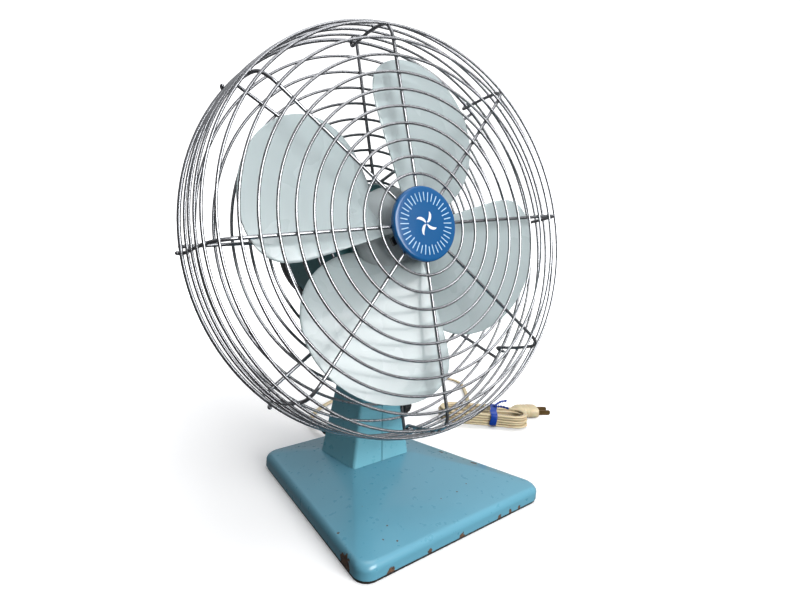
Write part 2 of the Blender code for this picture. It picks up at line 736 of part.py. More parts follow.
def make_cap():
    """Rear cover with a hole for the clutch knob above and the crank below."""
    inner = [(r - WALL, y - (0.0 if r > 0.058 else 0.0010 + 0.0008 * (y > 0.08))) for r, y in CAP_PROFILE]
    inner[-1] = (0.0090, 0.0878)
    cap = finish("motor_cap", turned([*CAP_PROFILE, *inner[::-1]], 24, closed=True), BLACK, parent=head)
    holes = bmesh.new()
    add_rod(holes, (0.0, CRANK_Y, 0.0500), (0.0, CRANK_Y, 0.0650), 0.0029, 12)
    add_rod(holes, (0.0, CRANK_Y, -0.0650), (0.0, CRANK_Y, -0.0500), 0.0039, 12)
    boolean(cap, [finish("cap_holes", holes, BLACK, parent=head)], "DIFFERENCE")


make_bell()
make_cap()

# Oscillation drive under the rear cap: clutch knob on top, crank below, link to the yoke's rear arm


def crank_centre(swing):
    """Crank axis seen from the yoke's pin, when the head has swung this far to the left."""
    return Matrix.Rotation(swing, 3, "Z") @ Vector((0.0, CRANK_Y, 0.0)) - YOKE_PIN


CRANK_R = (crank_centre(-SWING).length - crank_centre(SWING).length) / 2
LINK_LENGTH = (crank_centre(-SWING).length + crank_centre(SWING).length) / 2


def crank_pin(swing):
    """Crank pin seen from the yoke's pin: where the link and the crank close the triangle."""
    centre = crank_centre(swing)
    cosine = (centre.length ** 2 + CRANK_R ** 2 - LINK_LENGTH ** 2) / (2 * centre.length * CRANK_R)
    forward = centre.normalized()
    left = Vector((-forward.y, forward.x, 0.0))
    return centre + CRANK_R * (left * math.sqrt(1.0 - cosine ** 2) - forward * cosine)


def make_clutch_knob():
    profile = [(0.0026, -0.0180), (0.0026, 0.0), (0.0055, 0.0002), (0.0070, 0.0020), (0.0070, 0.0090),
               (0.0055, 0.0104)]
    place = Matrix.Translation((0.0, CRANK_Y, 0.0602)) @ UPRIGHT
    finish("osc_knob", turned(profile, 16), BLACK, parent=head, place=place)


def make_crank():
    """Disc on the gearbox's shaft, with its pin at the angle that suits the head's swivel."""
    frame = empty("crank_axis", Matrix.Translation((0.0, CRANK_Y, 0.0)), parent=head)
    disc = turned([(0.0150, 0.0), (0.0150, 0.0030), (0.0035, 0.0032), (0.0035, 0.0130)], 20)
    place = Matrix.Translation((0.0, 0.0, CRANK_TOP - 0.0030)) @ UPRIGHT
    crank = finish("osc_crank", disc, STEEL, parent=frame, place=place)
    offset = Matrix.Rotation(-SWIVEL, 3, "Z") @ (crank_pin(SWIVEL) - crank_centre(SWIVEL))
    low = offset + Vector((0.0, 0.0, LINK_Z1 + 0.0005))
    high = offset + Vector((0.0, 0.0, CRANK_TOP - 0.0010))
    pin = bmesh.new()
    add_rod(pin, low, high, DRIVE_PIN_R, 12)
    boolean(crank, [finish("crank_pin", pin, STEEL, parent=frame)], "UNION")


def make_link():
    """Flat link with round ends, from the yoke's pin to just under the crank pin."""
    bm = bmesh.new()
    half = LINK_LENGTH / 2
    rings = []
    for z in (LINK_Z0, LINK_Z1):
        ring = []
        for side in (1, -1):
            for k in range(7):
                a = -math.pi / 2 + math.pi * k / 6
                x = side * (half + LINK_END_R * math.cos(a))
                ring.append(Vector((x, side * LINK_END_R * math.sin(a), z + HEAD_RISE)))
        rings.append(ring)
    loft(bm, rings)
    reach = crank_pin(SWIVEL)
    heading = Matrix.Rotation(math.atan2(reach.y, reach.x), 4, "Z")
    place = Matrix.Translation(YOKE_PIN) @ heading @ Matrix.Translation((half, 0.0, 0.0))
    link = finish("osc_link", bm, STEEL, parent=tilt_frame, place=place, smooth=False)
    hole = bmesh.new()
    add_rod(hole, YOKE_PIN, YOKE_PIN + Vector((0.0, 0.0, 0.02)), DRIVE_PIN_R + 0.0004, 12)
    return boolean(link, [finish("link_hole", hole, STEEL, parent=tilt_frame)], "DIFFERENCE")


make_clutch_knob()
make_crank()
make_link()

# Stator, windings, bearings and end bracket inside the bell


def make_stator():
    core = turned([(0.0460, 0.0020), (0.0460, 0.0340), (0.0281, 0.0340), (0.0281, 0.0020)], 24, closed=True)
    finish("stator_core", core, LAMINATION, parent=head)
    for name, y0, y1 in (("stator_coil_front", -0.0065, 0.0017), ("stator_coil_rear", 0.0343, 0.0420)):
        coil = turned([(0.0430, y0 + 0.0020), (0.0430, y1 - 0.0020), (0.0400, y1), (0.0300, y1), (0.0300, y0),
                       (0.0400, y0)], 20, closed=True)
        finish(name, coil, COPPER, parent=head)


def make_end_bracket():
    bm = turned([(0.0570, 0.0440), (0.0570, 0.0462), (0.0130, 0.0462), (0.0130, 0.0575), (0.0093, 0.0575),
                 (0.0093, 0.0440)], 24, closed=True)
    bracket = finish("end_bracket", bm, STEEL, parent=head)
    windows = bmesh.new()
    for k in range(4):
        p = polar(0.0350, math.radians(90.0 * k))
        add_rod(windows, (p.x, 0.0400, p.z), (p.x, 0.0500, p.z), 0.0120, 10)
    return boolean(bracket, [finish("bracket_windows", windows, STEEL, parent=head)], "DIFFERENCE")


def make_bearings():
    for name, y0, y1 in (("bearing_front", -0.0400, -0.0283), ("bearing_rear", 0.0440, 0.0570)):
        bore = SHAFT_R + FIT
        bearing = turned([(0.0090, y0), (0.0090, y1), (bore, y1), (bore, y0)], 20, closed=True)
        finish(name, bearing, BRONZE, parent=head)


make_stator()
make_end_bracket()
make_bearings()

# Rotor: shaft, rotor core and the moulded fan wheel

rotor = empty("spin_axis", Matrix.Identity(4), parent=head)


def make_shaft():
    finish("motor_shaft", turned([(SHAFT_R, -0.0700), (SHAFT_R, 0.0620)], 16), STEEL, parent=rotor)
    bore = SHAFT_R + FIT
    core = turned([(0.0276, 0.0022), (0.0276, 0.0338), (bore, 0.0338), (bore, 0.0022)], 24, closed=True)
    finish("rotor_core", core, LAMINATION, parent=rotor)


def share(value, low, high):
    """How far value is from low to high, held to 0 and 1."""
    return min(1.0, max(0.0, (value - low) / (high - low)))


def blade_edges(radius):
    """Angles of a blade's front and rear edges; the rear one rounds off sooner and draws in at the hub."""
    front = math.sqrt(1.0 - share(radius, 0.060, BLADE_TIP_R) ** 5.5)
    rear = math.sqrt(1.0 - share(radius, 0.055, BLADE_TIP_R) ** 1.8)
    rear *= 1.0 - 0.30 * share(radius, 0.055, BLADE_ROOT_R) ** 2
    return -BLADE_LEAD * front, BLADE_TRAIL * rear


def blade_point(radius, angle, offset):
    """Point of the helical blade surface; the clockwise edge lies further back."""
    middle = (BLADE_TRAIL - BLADE_LEAD) / 2
    half = (BLADE_TRAIL + BLADE_LEAD) / 2
    cup = BLADE_CUP * (1.0 - ((angle - middle) / half) ** 2)
    y = WHEEL_Y + BLADE_TWIST * angle / (math.pi / 3) - cup + offset
    return polar(radius, BLADE_PHASE + angle, y)


def make_blade(k):
    """Closed thin shell over the blade's outline."""
    rows, columns = 9, 8
    bm = bmesh.new()
    grids = []
    for offset in (-BLADE_THICK / 2, BLADE_THICK / 2):
        grid = []
        for i in range(rows):
            s = i / (rows - 1)
            radius = BLADE_ROOT_R + (BLADE_TIP_R - BLADE_ROOT_R) * (1.0 - (1.0 - s) ** 1.35) * 0.998
            low, high = blade_edges(radius)
            angles = [low + (high - low) * j / (columns - 1) for j in range(columns)]
            grid.append([bm.verts.new(blade_point(radius, angle, offset)) for angle in angles])
        grids.append(grid)
    front, back = grids
    for i in range(rows - 1):
        for j in range(columns - 1):
            bm.faces.new((front[i][j], front[i][j + 1], front[i + 1][j + 1], front[i + 1][j]))
            bm.faces.new((back[i][j], back[i + 1][j], back[i + 1][j + 1], back[i][j + 1]))
    for i in range(rows - 1):
        for j in (0, columns - 1):
            bm.faces.new((front[i][j], front[i + 1][j], back[i + 1][j], back[i][j]))
    for j in range(columns - 1):
        for i in (0, rows - 1):
            bm.faces.new((front[i][j], back[i][j], back[i][j + 1], front[i][j + 1]))
    bm.transform(Matrix.Rotation(2 * math.pi * k / BLADES, 4, "Y"))
    return finish(f"blade_{k}", bm, MINT, parent=rotor)


def make_wheel():
    """Conical hub, hollow behind, with the four blades moulded on."""
    outer = [(0.0090, -0.0790), (0.0160, -0.0782), (0.0250, -0.0735), (0.0350, -0.0640), (HUB_R, -0.0530),
             (HUB_R, -0.0490)]
    inner = [(HUB_R - 0.0020, -0.0490), (HUB_R - 0.0022, -0.0525), (0.0330, -0.0625), (0.0240, -0.0710),
             (0.0110, -0.0755), (0.0110, -0.0450), (SHAFT_R + FIT, -0.0450), (SHAFT_R + FIT, -0.0704),
             (0.0020, -0.0705), (0.0020, -0.0790)]
    wheel = finish("fan_wheel", turned(outer + inner, 24, closed=True), MINT, parent=rotor)
    blades = [make_blade(k) for k in range(BLADES)]
    boolean(wheel, blades, "UNION")
    hollow = turned([(0.0112, -0.0748), (0.0236, -0.0706), (0.0326, -0.0621), (HUB_R - 0.0024, -0.0524),
                     (HUB_R - 0.0024, -0.0400), (0.0112, -0.0400)], 24, closed=True)
    clear = finish("hub_hollow", hollow, MINT, parent=rotor)
    boolean(wheel, [clear], "DIFFERENCE")
    bore = bmesh.new()
    p = Vector((0.0, -0.0475, 0.0))
    add_rod(bore, p + Vector((0.003, 0, 0)), p + Vector((0.014, 0, 0)), 0.0019, 10)
    return boolean(wheel, [finish("set_screw_bore", bore, MINT, parent=rotor)], "DIFFERENCE")


def make_set_screw():
    screw = bmesh.new()
    add_rod(screw, (SHAFT_R + FIT, -0.0475, 0.0), (0.0120, -0.0475, 0.0), 0.0016, 10)
    finish("hub_set_screw", screw, STEEL, parent=rotor)


make_shaft()
make_wheel()
make_set_screw()

# Front guard: flat face of rings over eight spokes that turn back along the side wall and hook the rim


def face_depth(radius):
    """How far a face ring stands in front of the guard's outermost face ring."""
    if radius >= RING_R - 1e-6:
        return 0.0
    return FACE_RISE - 0.0020 * (radius - 0.042) / 0.112


def add_ring(bm, radius, y, section, wire=RING_WIRE):
    segments = 24 if radius > 0.09 or radius == REAR_RING_R0 else 16
    path = [polar(radius, GUARD_ROLL + 2 * math.pi * k / segments, y) for k in range(segments)]
    return add_wire(bm, path, wire, Vector((0.0, 1.0, 0.0)), section, cyclic=True)


def spoke_profile():
    """(radius, y) points of a front spoke: behind the face rings, inside the side rings, round the rim."""
    face = [(0.0140, WIRE_LAP - face_depth(0.0420))]
    for k in (4, 8):
        radius = 0.0420 + k * RING_STEP
        face.append((radius, WIRE_LAP - face_depth(radius)))
    turn = [(0.1655, 0.0008), (0.1706, 0.0062)]
    side = [(radius - WIRE_LAP, depth) for radius, depth in SIDE_RINGS]
    hook = [(0.1744, 0.0590), (0.1783, 0.0614), (0.1816, 0.0590), (0.1818, 0.0566)]
    return face + turn + side + hook


def make_front_guard():
    rings = bmesh.new()
    for k in range(RING_COUNT):
        radius = RING_R - k * RING_STEP
        add_ring(rings, radius, GUARD_Y - face_depth(radius), FLAT_BEHIND)
    for radius, depth in SIDE_RINGS:
        add_ring(rings, radius, GUARD_Y + depth, FLAT_INSIDE)
    spokes = bmesh.new()
    for k in range(SPOKES):
        phi = GUARD_ROLL + 2 * math.pi * k / SPOKES
        path = [polar(radius, phi, GUARD_Y + y) for radius, y in spoke_profile()]
        add_wire(spokes, path, SPOKE_WIRE, polar(1.0, phi + math.pi / 2))
    plate = turned([(0.0180, GUARD_Y - 0.0061), (0.0180, GUARD_Y - 0.0032)], 24)
    guard = finish("front_guard", plate, CHROME, parent=head)
    boolean(guard, [finish("guard_spokes", spokes, CHROME, parent=head)], "UNION")
    boolean(guard, [finish("guard_rings", rings, CHROME, parent=head)], "UNION")
    hole = bmesh.new()
    add_rod(hole, (0.0, GUARD_Y - 0.02, 0.0), (0.0, GUARD_Y + 0.01, 0.0), 0.0020, 12)
    return boolean(guard, [finish("guard_hole", hole, CHROME, parent=head)], "DIFFERENCE")


make_front_guard()

# Rear guard: flat rings inside a rim, straight wires between, and four tabs screwed to the bell's shoulder


def make_rear_guard():
    rear_y = GUARD_Y + REAR_DEPTH
    wire_y = rear_y - WIRE_LAP
    rings = bmesh.new()
    for k in range(REAR_RINGS):
        radius = REAR_RING_R0 + k * REAR_RING_STEP
        add_ring(rings, radius, rear_y, FLAT_AHEAD)
    add_ring(rings, RIM_R, GUARD_Y + RIM_DEPTH, SQUARE, SPOKE_WIRE)
    wires = bmesh.new()
    for k in range(4):
        turn = REAR_ROLL + math.pi / 2 * k
        path = [polar(r, turn, wire_y) for r in (REAR_RING_R0 - 0.0012, 0.110, RIM_R + 0.0002)]
        add_wire(wires, path, SPOKE_WIRE, FRONTWARD)
    for top in (1, -1):
        for side in (1, -1):
            start = Vector((side * 0.0075, wire_y, top * 0.0505))
            end = polar(RIM_R + 0.0002, math.atan2(side, top) + 0.03, wire_y)
            spin = Matrix.Rotation(REAR_ROLL, 3, "Y")
            add_wire(wires, [spin @ start, spin @ ((start + end) / 2), spin @ end], SPOKE_WIRE, FRONTWARD)
    guard = finish("rear_guard", rings, CHROME, parent=head)
    boolean(guard, [finish("rear_wires", wires, CHROME, parent=head)], "UNION")
    tabs = bmesh.new()
    legs = bmesh.new()
    for k in range(4):
        turn = Matrix.Rotation(math.radians(45.0 + 90.0 * k) + GUARD_ROLL, 4, "Y")
        for holder, box in ((tabs, ((-0.0045, TAB_Y0, 0.0385), (0.0045, TAB_Y1, 0.0530))),
                            (legs, ((-0.0043, TAB_Y0 + 0.0004, 0.0512), (0.0043, rear_y, 0.0528)))):
            piece = bmesh.new()
            add_box(piece, *box)
            join(holder, piece, turn)
    boolean(guard, [finish("rear_legs", legs, CHROME, parent=head)], "UNION")
    boolean(guard, [finish("rear_tabs", tabs, CHROME, parent=head)], "UNION")
    holes = bmesh.new()
    for k in range(TABS):
        p = tab_point(k)
        add_rod(holes, (p.x, -0.0400, p.z), (p.x, -0.0200, p.z), 0.0021, 10)
    return boolean(guard, [finish("tab_holes", holes, CHROME, parent=head)], "DIFFERENCE")


def make_guard_screws():
    seat = TAB_Y0 - FIT
    for k in range(TABS):
        p = tab_point(k)
        screw = turned([(0.0026, -0.0346), (0.0034, -0.0340), (0.0034, seat), (0.0017, seat + 0.0001),
                        (0.0017, -0.0235)], 12)
        finish(f"guard_screw_{k + 1}", screw, STEEL, parent=head, place=Matrix.Translation((p.x, 0.0, p.z)))


make_rear_guard()
make_guard_screws()

# Badge on the guard's centre: a shallow dish, its spring bar and its screw


def make_badge():
    outer = [(0.0100, BADGE_FRONT), (0.0290, BADGE_FRONT + 0.0006), (0.0306, BADGE_FRONT + 0.0014),
             (BADGE_R, BADGE_FRONT + 0.0028), (BADGE_R, BADGE_BACK)]
    inner = [(0.0300, BADGE_BACK), (0.0300, BADGE_FRONT + 0.0024), (0.0060, BADGE_FRONT + 0.0018),
             (0.0060, BADGE_BACK), (0.0019, BADGE_BACK), (0.0019, BADGE_FRONT + 0.0016)]
    finish("badge", turned(outer + inner, 24), BADGE_BLUE, parent=head)


def make_badge_bar():
    """Dark spring bar behind the badge that grips the guard's spokes."""
    bm = bmesh.new()
    y0 = GUARD_Y - 0.0026
    add_box(bm, (-0.0330, y0, -0.0035), (0.0330, y0 + 0.0010, 0.0035))
    bm.transform(Matrix.Rotation(math.radians(-24.0), 4, "Y"))
    bar = finish("badge_bar", bm, BLACK, parent=head, smooth=False)
    hole = bmesh.new()
    add_rod(hole, (0.0, y0 - 0.002, 0.0), (0.0, y0 + 0.003, 0.0), 0.0019, 12)
    return boolean(bar, [finish("bar_hole", hole, BLACK, parent=head)], "DIFFERENCE")


def make_badge_screw():
    screw = turned([(0.0016, GUARD_Y - 0.0094), (0.0016, GUARD_Y - 0.0013), (0.0036, GUARD_Y - 0.0013),
                    (0.0036, GUARD_Y + 0.0010)], 12)
    finish("badge_screw", screw, STEEL, parent=head)


make_badge()
make_badge_bar()
make_badge_screw()

# Cord: strain relief, lead to the hank, hank, tail, tie and plug


def cord_curve(name, controls, spacing):
    """Plain tube along a smooth route."""
    data = bpy.data.curves.new(name, "CURVE")
    data.dimensions = "3D"
    data.bevel_depth = CORD_R
    data.bevel_resolution = 2
    data.use_fill_caps = True
    points = smooth_path([Vector(c) for c in controls], spacing)
    spline = data.splines.new("POLY")
    spline.points.add(len(points) - 1)
    for slot, point in zip(spline.points, points):
        slot.co = (*point, 1.0)
    data.materials.append(IVORY)
    obj = bpy.data.objects.new(name, data)
    bpy.context.scene.collection.objects.link(obj)
    return obj


def make_relief():
    """Tapered strain relief, flanged against the base's rear wall."""
    wall = BASE_DEPTH / 2 + FIT
    profile = [(0.0038, RELIEF_Y0), (0.0038, wall), (0.0058, wall + 0.0001), (0.0058, wall + 0.0027),
               (0.0036, RELIEF_Y1)]
    place = Matrix.Translation((CORD_EXIT_X, 0.0, CORD_EXIT_Z))
    finish("cord_relief", turned(profile, 16), BLACK, place=place)


def hank_frame(x, y, z=0.0):
    """Point given along and across the hank."""
    return HANK_CENTRE + Matrix.Rotation(HANK_ANGLE, 3, "Z") @ Vector((x, y, z))


def make_hank():
    """Folded cord as one solid with round ends."""
    bm = bmesh.new()
    half = HANK_LENGTH / 2 - HANK_WIDTH / 2
    rings = []
    layers = ((0.0040, HANK_LOW), (0.0, HANK_LOW + 0.0050), (0.0, HANK_HIGH - 0.0060), (0.0050, HANK_HIGH))
    for inset, z in layers:
        ring = []
        radius = HANK_WIDTH / 2 - inset
        for end in (1, -1):
            for k in range(9):
                a = -math.pi / 2 + math.pi * k / 8
                ring.append(hank_frame(end * (half + radius * math.cos(a)), end * radius * math.sin(a), z))
        rings.append(ring)
    return finish("cord_hank", loft(bm, rings), IVORY)


def make_tie():
    """Twist tie round the hank, with its twisted end."""
    bm = bmesh.new()
    rings = []
    half_w = HANK_WIDTH / 2
    at = 0.012
    for grow, x in ((0.0013, -0.0045), (0.0013, 0.0045), (FIT, 0.0045), (FIT, -0.0045)):
        w = half_w + grow
        z0, z1 = HANK_LOW - grow, HANK_HIGH + grow
        bevel = 0.0040
        section = ((-w, z0 + bevel), (-w + bevel, z0), (w - bevel, z0), (w, z0 + bevel),
                   (w, z1 - bevel - 0.001), (w - bevel, z1), (-w + bevel, z1), (-w, z1 - bevel - 0.001))
        rings.append([hank_frame(at + x, y, z) for y, z in section])
    tie = finish("cord_tie", loft(bm, rings, cyclic=True), TIE_BLUE)
    tail = bmesh.new()
    end = hank_frame(at + 0.0180, 0.0130, HANK_HIGH + 0.0062)
    add_rod(tail, hank_frame(at, 0.0040, HANK_HIGH + 0.0018), end, 0.0013, 8)
    return boolean(tie, [finish("tie_tail", tail, TIE_BLUE)], "UNION")


def make_plug():
    """Two-blade plug body: flat, rounded, drawn in to the cord."""
    bm = bmesh.new()
    rings = []
    stations = ((-0.0100, 0.0042, 0.0036), (-0.0050, 0.0052, 0.0044), (0.0, 0.0085, 0.0062),
                (0.0060, 0.0118, 0.0070), (0.0240, 0.0125, 0.0070), (0.0300, 0.0118, 0.0066))
    across = PLUG_DIR.cross(Vector((0.0, 0.0, 1.0)))
    for x, half_w, half_h in stations:
        ring = []
        for k in range(16):
            a = 2 * math.pi * (k + 0.5) / 16
            c, s = math.cos(a), math.sin(a)
            sy = math.copysign(abs(c) ** 0.6, c) * half_w
            sz = math.copysign(abs(s) ** 0.6, s) * half_h
            ring.append(PLUG_REAR + PLUG_DIR * x + across * sy + Vector((0.0, 0.0, sz)))
        rings.append(ring)
    plug = finish("plug_body", loft(bm, rings), IVORY)
    slots = bmesh.new()
    for side in (-1, 1):
        blade_box(slots, side, 0.0270, 0.0400, 0.00345, 0.00105)
    return boolean(plug, [finish("plug_slots", slots, IVORY)], "DIFFERENCE")


def blade_box(bm, side, start, end, half_w, half_t):
    """One flat contact blade, standing on edge in the plug's plane."""
    across = PLUG_DIR.cross(Vector((0.0, 0.0, 1.0)))
    centre = across * (side * PLUG_PITCH / 2)
    rings = []
    for x in (start, end):
        base = PLUG_REAR + PLUG_DIR * x + centre
        rings.append([base + across * sy * half_t + Vector((0.0, 0.0, sz * half_w))
                      for sy, sz in ((-1, -1), (1, -1), (1, 1), (-1, 1))])
    return loft(bm, rings)


def make_plug_blades():
    for name, side in (("plug_blade_1", -1), ("plug_blade_2", 1)):
        finish(name, blade_box(bmesh.new(), side, 0.0274, 0.0470, 0.00315, 0.00075), BRASS, smooth=False)


make_relief()
cord_curve("cord_lead", LEAD_ROUTE, 0.0140)
make_hank()
make_tie()
cord_curve("cord_tail", TAIL_ROUTE, 0.0060)
make_plug()
make_plug_blades()
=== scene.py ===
"""Look of the desk fan: enamelled base and neck, chrome guard, moulded blades, badge, motor and tied cord.

Everything is in metres in the model's own frame: the fan faces -Y and stands on z = 0.
"""

import math

import bmesh
import bpy
from mathutils import Matrix, Vector


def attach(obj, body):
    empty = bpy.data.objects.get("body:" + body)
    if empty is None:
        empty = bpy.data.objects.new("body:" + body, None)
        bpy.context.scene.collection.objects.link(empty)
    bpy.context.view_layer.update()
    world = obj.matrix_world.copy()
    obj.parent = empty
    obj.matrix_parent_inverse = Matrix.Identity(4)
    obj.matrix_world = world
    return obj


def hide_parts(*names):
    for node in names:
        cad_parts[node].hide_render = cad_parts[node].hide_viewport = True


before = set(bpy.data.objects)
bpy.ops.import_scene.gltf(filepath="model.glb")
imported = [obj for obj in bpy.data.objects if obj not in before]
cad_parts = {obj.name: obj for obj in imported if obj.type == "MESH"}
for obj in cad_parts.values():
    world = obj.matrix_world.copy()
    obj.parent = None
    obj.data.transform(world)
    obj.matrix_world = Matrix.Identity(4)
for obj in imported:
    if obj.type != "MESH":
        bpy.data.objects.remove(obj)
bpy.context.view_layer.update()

# Shared sizes, as the model has them

BASE_FRONT_W = 0.2214
BASE_REAR_W = 0.1367
BASE_DEPTH = 0.2106
BASE_CORNER_R = 0.0115
BASE_LIFT = 0.0023
SKIRT_Z = 0.0160
SKIRT_INSET = 0.0052
SHEET = 0.0016

NECK_Y = 0.0297
NECK_Z0 = 0.0271
NECK_Z1 = 0.1475
NECK_W = 0.0686
NECK_D = 0.0530
NECK_TAPER_X = 0.144
NECK_TAPER_Y = 0.085

PIVOT = Vector((0.0, 0.0292, 0.1585))
HEAD_RISE = 0.0757
TILT = math.radians(-14.67)
SWIVEL = math.radians(-7.81)
TILT_FRAME = Matrix.Translation(PIVOT) @ Matrix.Rotation(TILT, 4, "X")
HEAD_FRAME = TILT_FRAME @ Matrix.Translation((0.0, 0.0, HEAD_RISE)) @ Matrix.Rotation(SWIVEL, 4, "Z")

GUARD_Y = -0.0881
GUARD_ROLL = math.radians(-2.6)
REAR_ROLL = GUARD_ROLL + math.radians(1.5)
RING_COUNT = 10
RING_R = 0.1680
RING_STEP = 0.0140
INNER_RING_R = 0.0420
FACE_RISE = 0.0067
RING_WIRE = 0.00122
SPOKE_WIRE = 0.00150
RIM_WIRE = 0.00160
WIRE_LAP = RING_WIRE + SPOKE_WIRE - 0.0004
SPOKES = 8
SIDE_RINGS = ((0.1747, 0.0118), (0.1764, 0.0227), (0.1772, 0.0336), (0.1772, 0.0446))
RIM_R = 0.1780
RIM_DEPTH = 0.0578
REAR_DEPTH = 0.0615
REAR_RINGS = 9
REAR_RING_R0 = 0.0517
REAR_RING_STEP = 0.0142
TAB_Y0, TAB_Y1 = -0.0318, -0.0303

BADGE_R = 0.0314

BLADES = 4
BLADE_TIP_R = 0.1490
BLADE_ROOT_R = 0.0200
BLADE_THICK = 0.0018
BLADE_PHASE = math.radians(15.0)
BLADE_TWIST = 0.0270
BLADE_LEAD = math.radians(28.5)
BLADE_TRAIL = math.radians(57.0)
BLADE_CUP = 0.0040
WHEEL_Y = -0.0660

SPEED_Y = 0.0240
SPEED_Z = 0.0700
KNOB_X = 0.0340
EAR_OUT = 0.0155

CORD_EXIT = Vector((0.022, BASE_DEPTH / 2 + 0.0246, 0.0090))
HANK_CENTRE = Vector((0.212, 0.055, 0.0))
HANK_ANGLE = math.radians(-45.0)
HANK_WIDTH = 0.040
PLUG_REAR = Vector((0.2670, 0.0467, 0.0078))
PLUG_ANGLE = math.radians(-32.0)
PLUG_DIR = Vector((math.cos(PLUG_ANGLE), math.sin(PLUG_ANGLE), 0.0))
CORD_W = 0.0055
CORD_T = 0.0030


# Shape helpers


class Shape:
    """Collects closed bodies as plain vertices and faces."""

    def __init__(self):
        self.verts = []
        self.faces = []

    def loft(self, rings, cyclic=False, caps=True):
        start = len(self.verts)
        count = len(rings[0])
        for ring in rings:
            self.verts.extend(Vector(point) for point in ring)
        last = len(rings) if cyclic else len(rings) - 1
        for i in range(last):
            low = start + i * count
            high = start + ((i + 1) % len(rings)) * count
            for j in range(count):
                k = (j + 1) % count
                self.faces.append((low + j, low + k, high + k, high + j))
        if caps and not cyclic:
            self.faces.append(tuple(start + j for j in reversed(range(count))))
            self.faces.append(tuple(start + (len(rings) - 1) * count + j for j in range(count)))
        return self

    def lathe(self, profile, segments, closed=False, centre=(0.0, 0.0, 0.0), turn=None):
        """Revolve (radius, y) pairs about the local Y axis."""
        turn = turn or Matrix.Identity(3)
        rings = []
        for radius, y in profile:
            ring = []
            for k in range(segments):
                a = 2.0 * math.pi * k / segments
                ring.append(Vector(centre) + turn @ Vector((radius * math.sin(a), y, radius * math.cos(a))))
            rings.append(ring)
        return self.loft(rings, cyclic=closed)

    def wire(self, path, radius, normal, sides=10, cyclic=False, dome=False):
        """Round wire along a path that lies in the plane with this normal."""
        rings = []
        count = len(path)
        for i, point in enumerate(path):
            if cyclic:
                before, after = path[i - 1], path[(i + 1) % count]
            else:
                before, after = path[max(i - 1, 0)], path[min(i + 1, count - 1)]
            tangent = (after - before).normalized()
            across = normal.cross(tangent).normalized()
            stations = [(0.0, 1.0)]
            if dome and not cyclic and i == 0:
                stations = [(-0.8, 0.35), (-0.5, 0.80), (0.0, 1.0)]
            if dome and not cyclic and i == count - 1:
                stations = [(0.0, 1.0), (0.5, 0.80), (0.8, 0.35)]
            for ahead, scale in stations:
                ring = []
                for k in range(sides):
                    a = 2.0 * math.pi * k / sides
                    offset = math.cos(a) * normal + math.sin(a) * across
                    ring.append(point + tangent * ahead * radius + offset * radius * scale)
                rings.append(ring)
        return self.loft(rings, cyclic=cyclic)

    def blob(self, centre, radii, turn=None, rows=5, columns=8):
        """Small ellipsoid, as a bead of weld."""
        turn = turn or Matrix.Identity(3)
        rings = []
        for i in range(1, rows):
            a = math.pi * i / rows
            ring = []
            for k in range(columns):
                b = 2.0 * math.pi * k / columns
                local = Vector((radii[0] * math.sin(a) * math.cos(b), radii[1] * math.cos(a),
                                radii[2] * math.sin(a) * math.sin(b)))
                ring.append(Vector(centre) + turn @ local)
            rings.append(ring)
        return self.loft(rings)

    def box(self, low, high, turn=None):
        turn = turn or Matrix.Identity(4)
        xs, ys, zs = zip(low, high)
        plan = ((xs[0], ys[0]), (xs[1], ys[0]), (xs[1], ys[1]), (xs[0], ys[1]))
        return self.loft([[turn @ Vector((x, y, z)) for x, y in plan] for z in zs])

    def build(self, name, material, place=None, angle=38.0, bevel=0.0):
        mesh = bpy.data.meshes.new(name)
        mesh.from_pydata([tuple(v) for v in self.verts], [], self.faces)
        bm = bmesh.new()
        bm.from_mesh(mesh)
        bmesh.ops.recalc_face_normals(bm, faces=bm.faces[:])
        if place is not None:
            bm.transform(place)
        bm.to_mesh(mesh)
        bm.free()
        mesh.materials.append(material)
        mesh.shade_smooth()
        mesh.set_sharp_from_angle(angle=math.radians(angle))
        obj = bpy.data.objects.new(name, mesh)
        bpy.context.scene.collection.objects.link(obj)
        if bevel:
            mod = obj.modifiers.new("soft edges", "BEVEL")
            mod.width = bevel
            mod.segments = 3
            mod.limit_method = "ANGLE"
            mod.angle_limit = math.radians(35.0)
            mod.harden_normals = False
        return obj


def polar(radius, phi, y=0.0):
    """Point in the head's frame: phi runs clockwise from the top, seen from the front."""
    return Vector((radius * math.sin(phi), y, radius * math.cos(phi)))


def smooth_path(controls, per_span=12):
    """Points on a Catmull-Rom curve through the control points."""
    pts = [2 * controls[0] - controls[1], *controls, 2 * controls[-1] - controls[-2]]
    result = []
    for i in range(1, len(pts) - 2):
        p0, p1, p2, p3 = pts[i - 1], pts[i], pts[i + 1], pts[i + 2]
        for k in range(per_span):
            t = k / per_span
            a = 2 * p1
            b = p2 - p0
            c = 2 * p0 - 5 * p1 + 4 * p2 - p3
            d = 3 * p1 - p0 - 3 * p2 + p3
            result.append(0.5 * (a + b * t + c * t * t + d * t * t * t))
    result.append(controls[-1].copy())
    return result


def tangent_at(path, i):
    """Direction of an open path at its point i."""
    return (path[min(i + 1, len(path) - 1)] - path[max(i - 1, 0)]).normalized()


def squared(value, power):
    """A sine or cosine pushed outwards, so that a round section comes out softly squared."""
    return math.copysign(abs(value) ** power, value)


def path_length(path):
    return sum((b - a).length for a, b in zip(path[:-1], path[1:]))


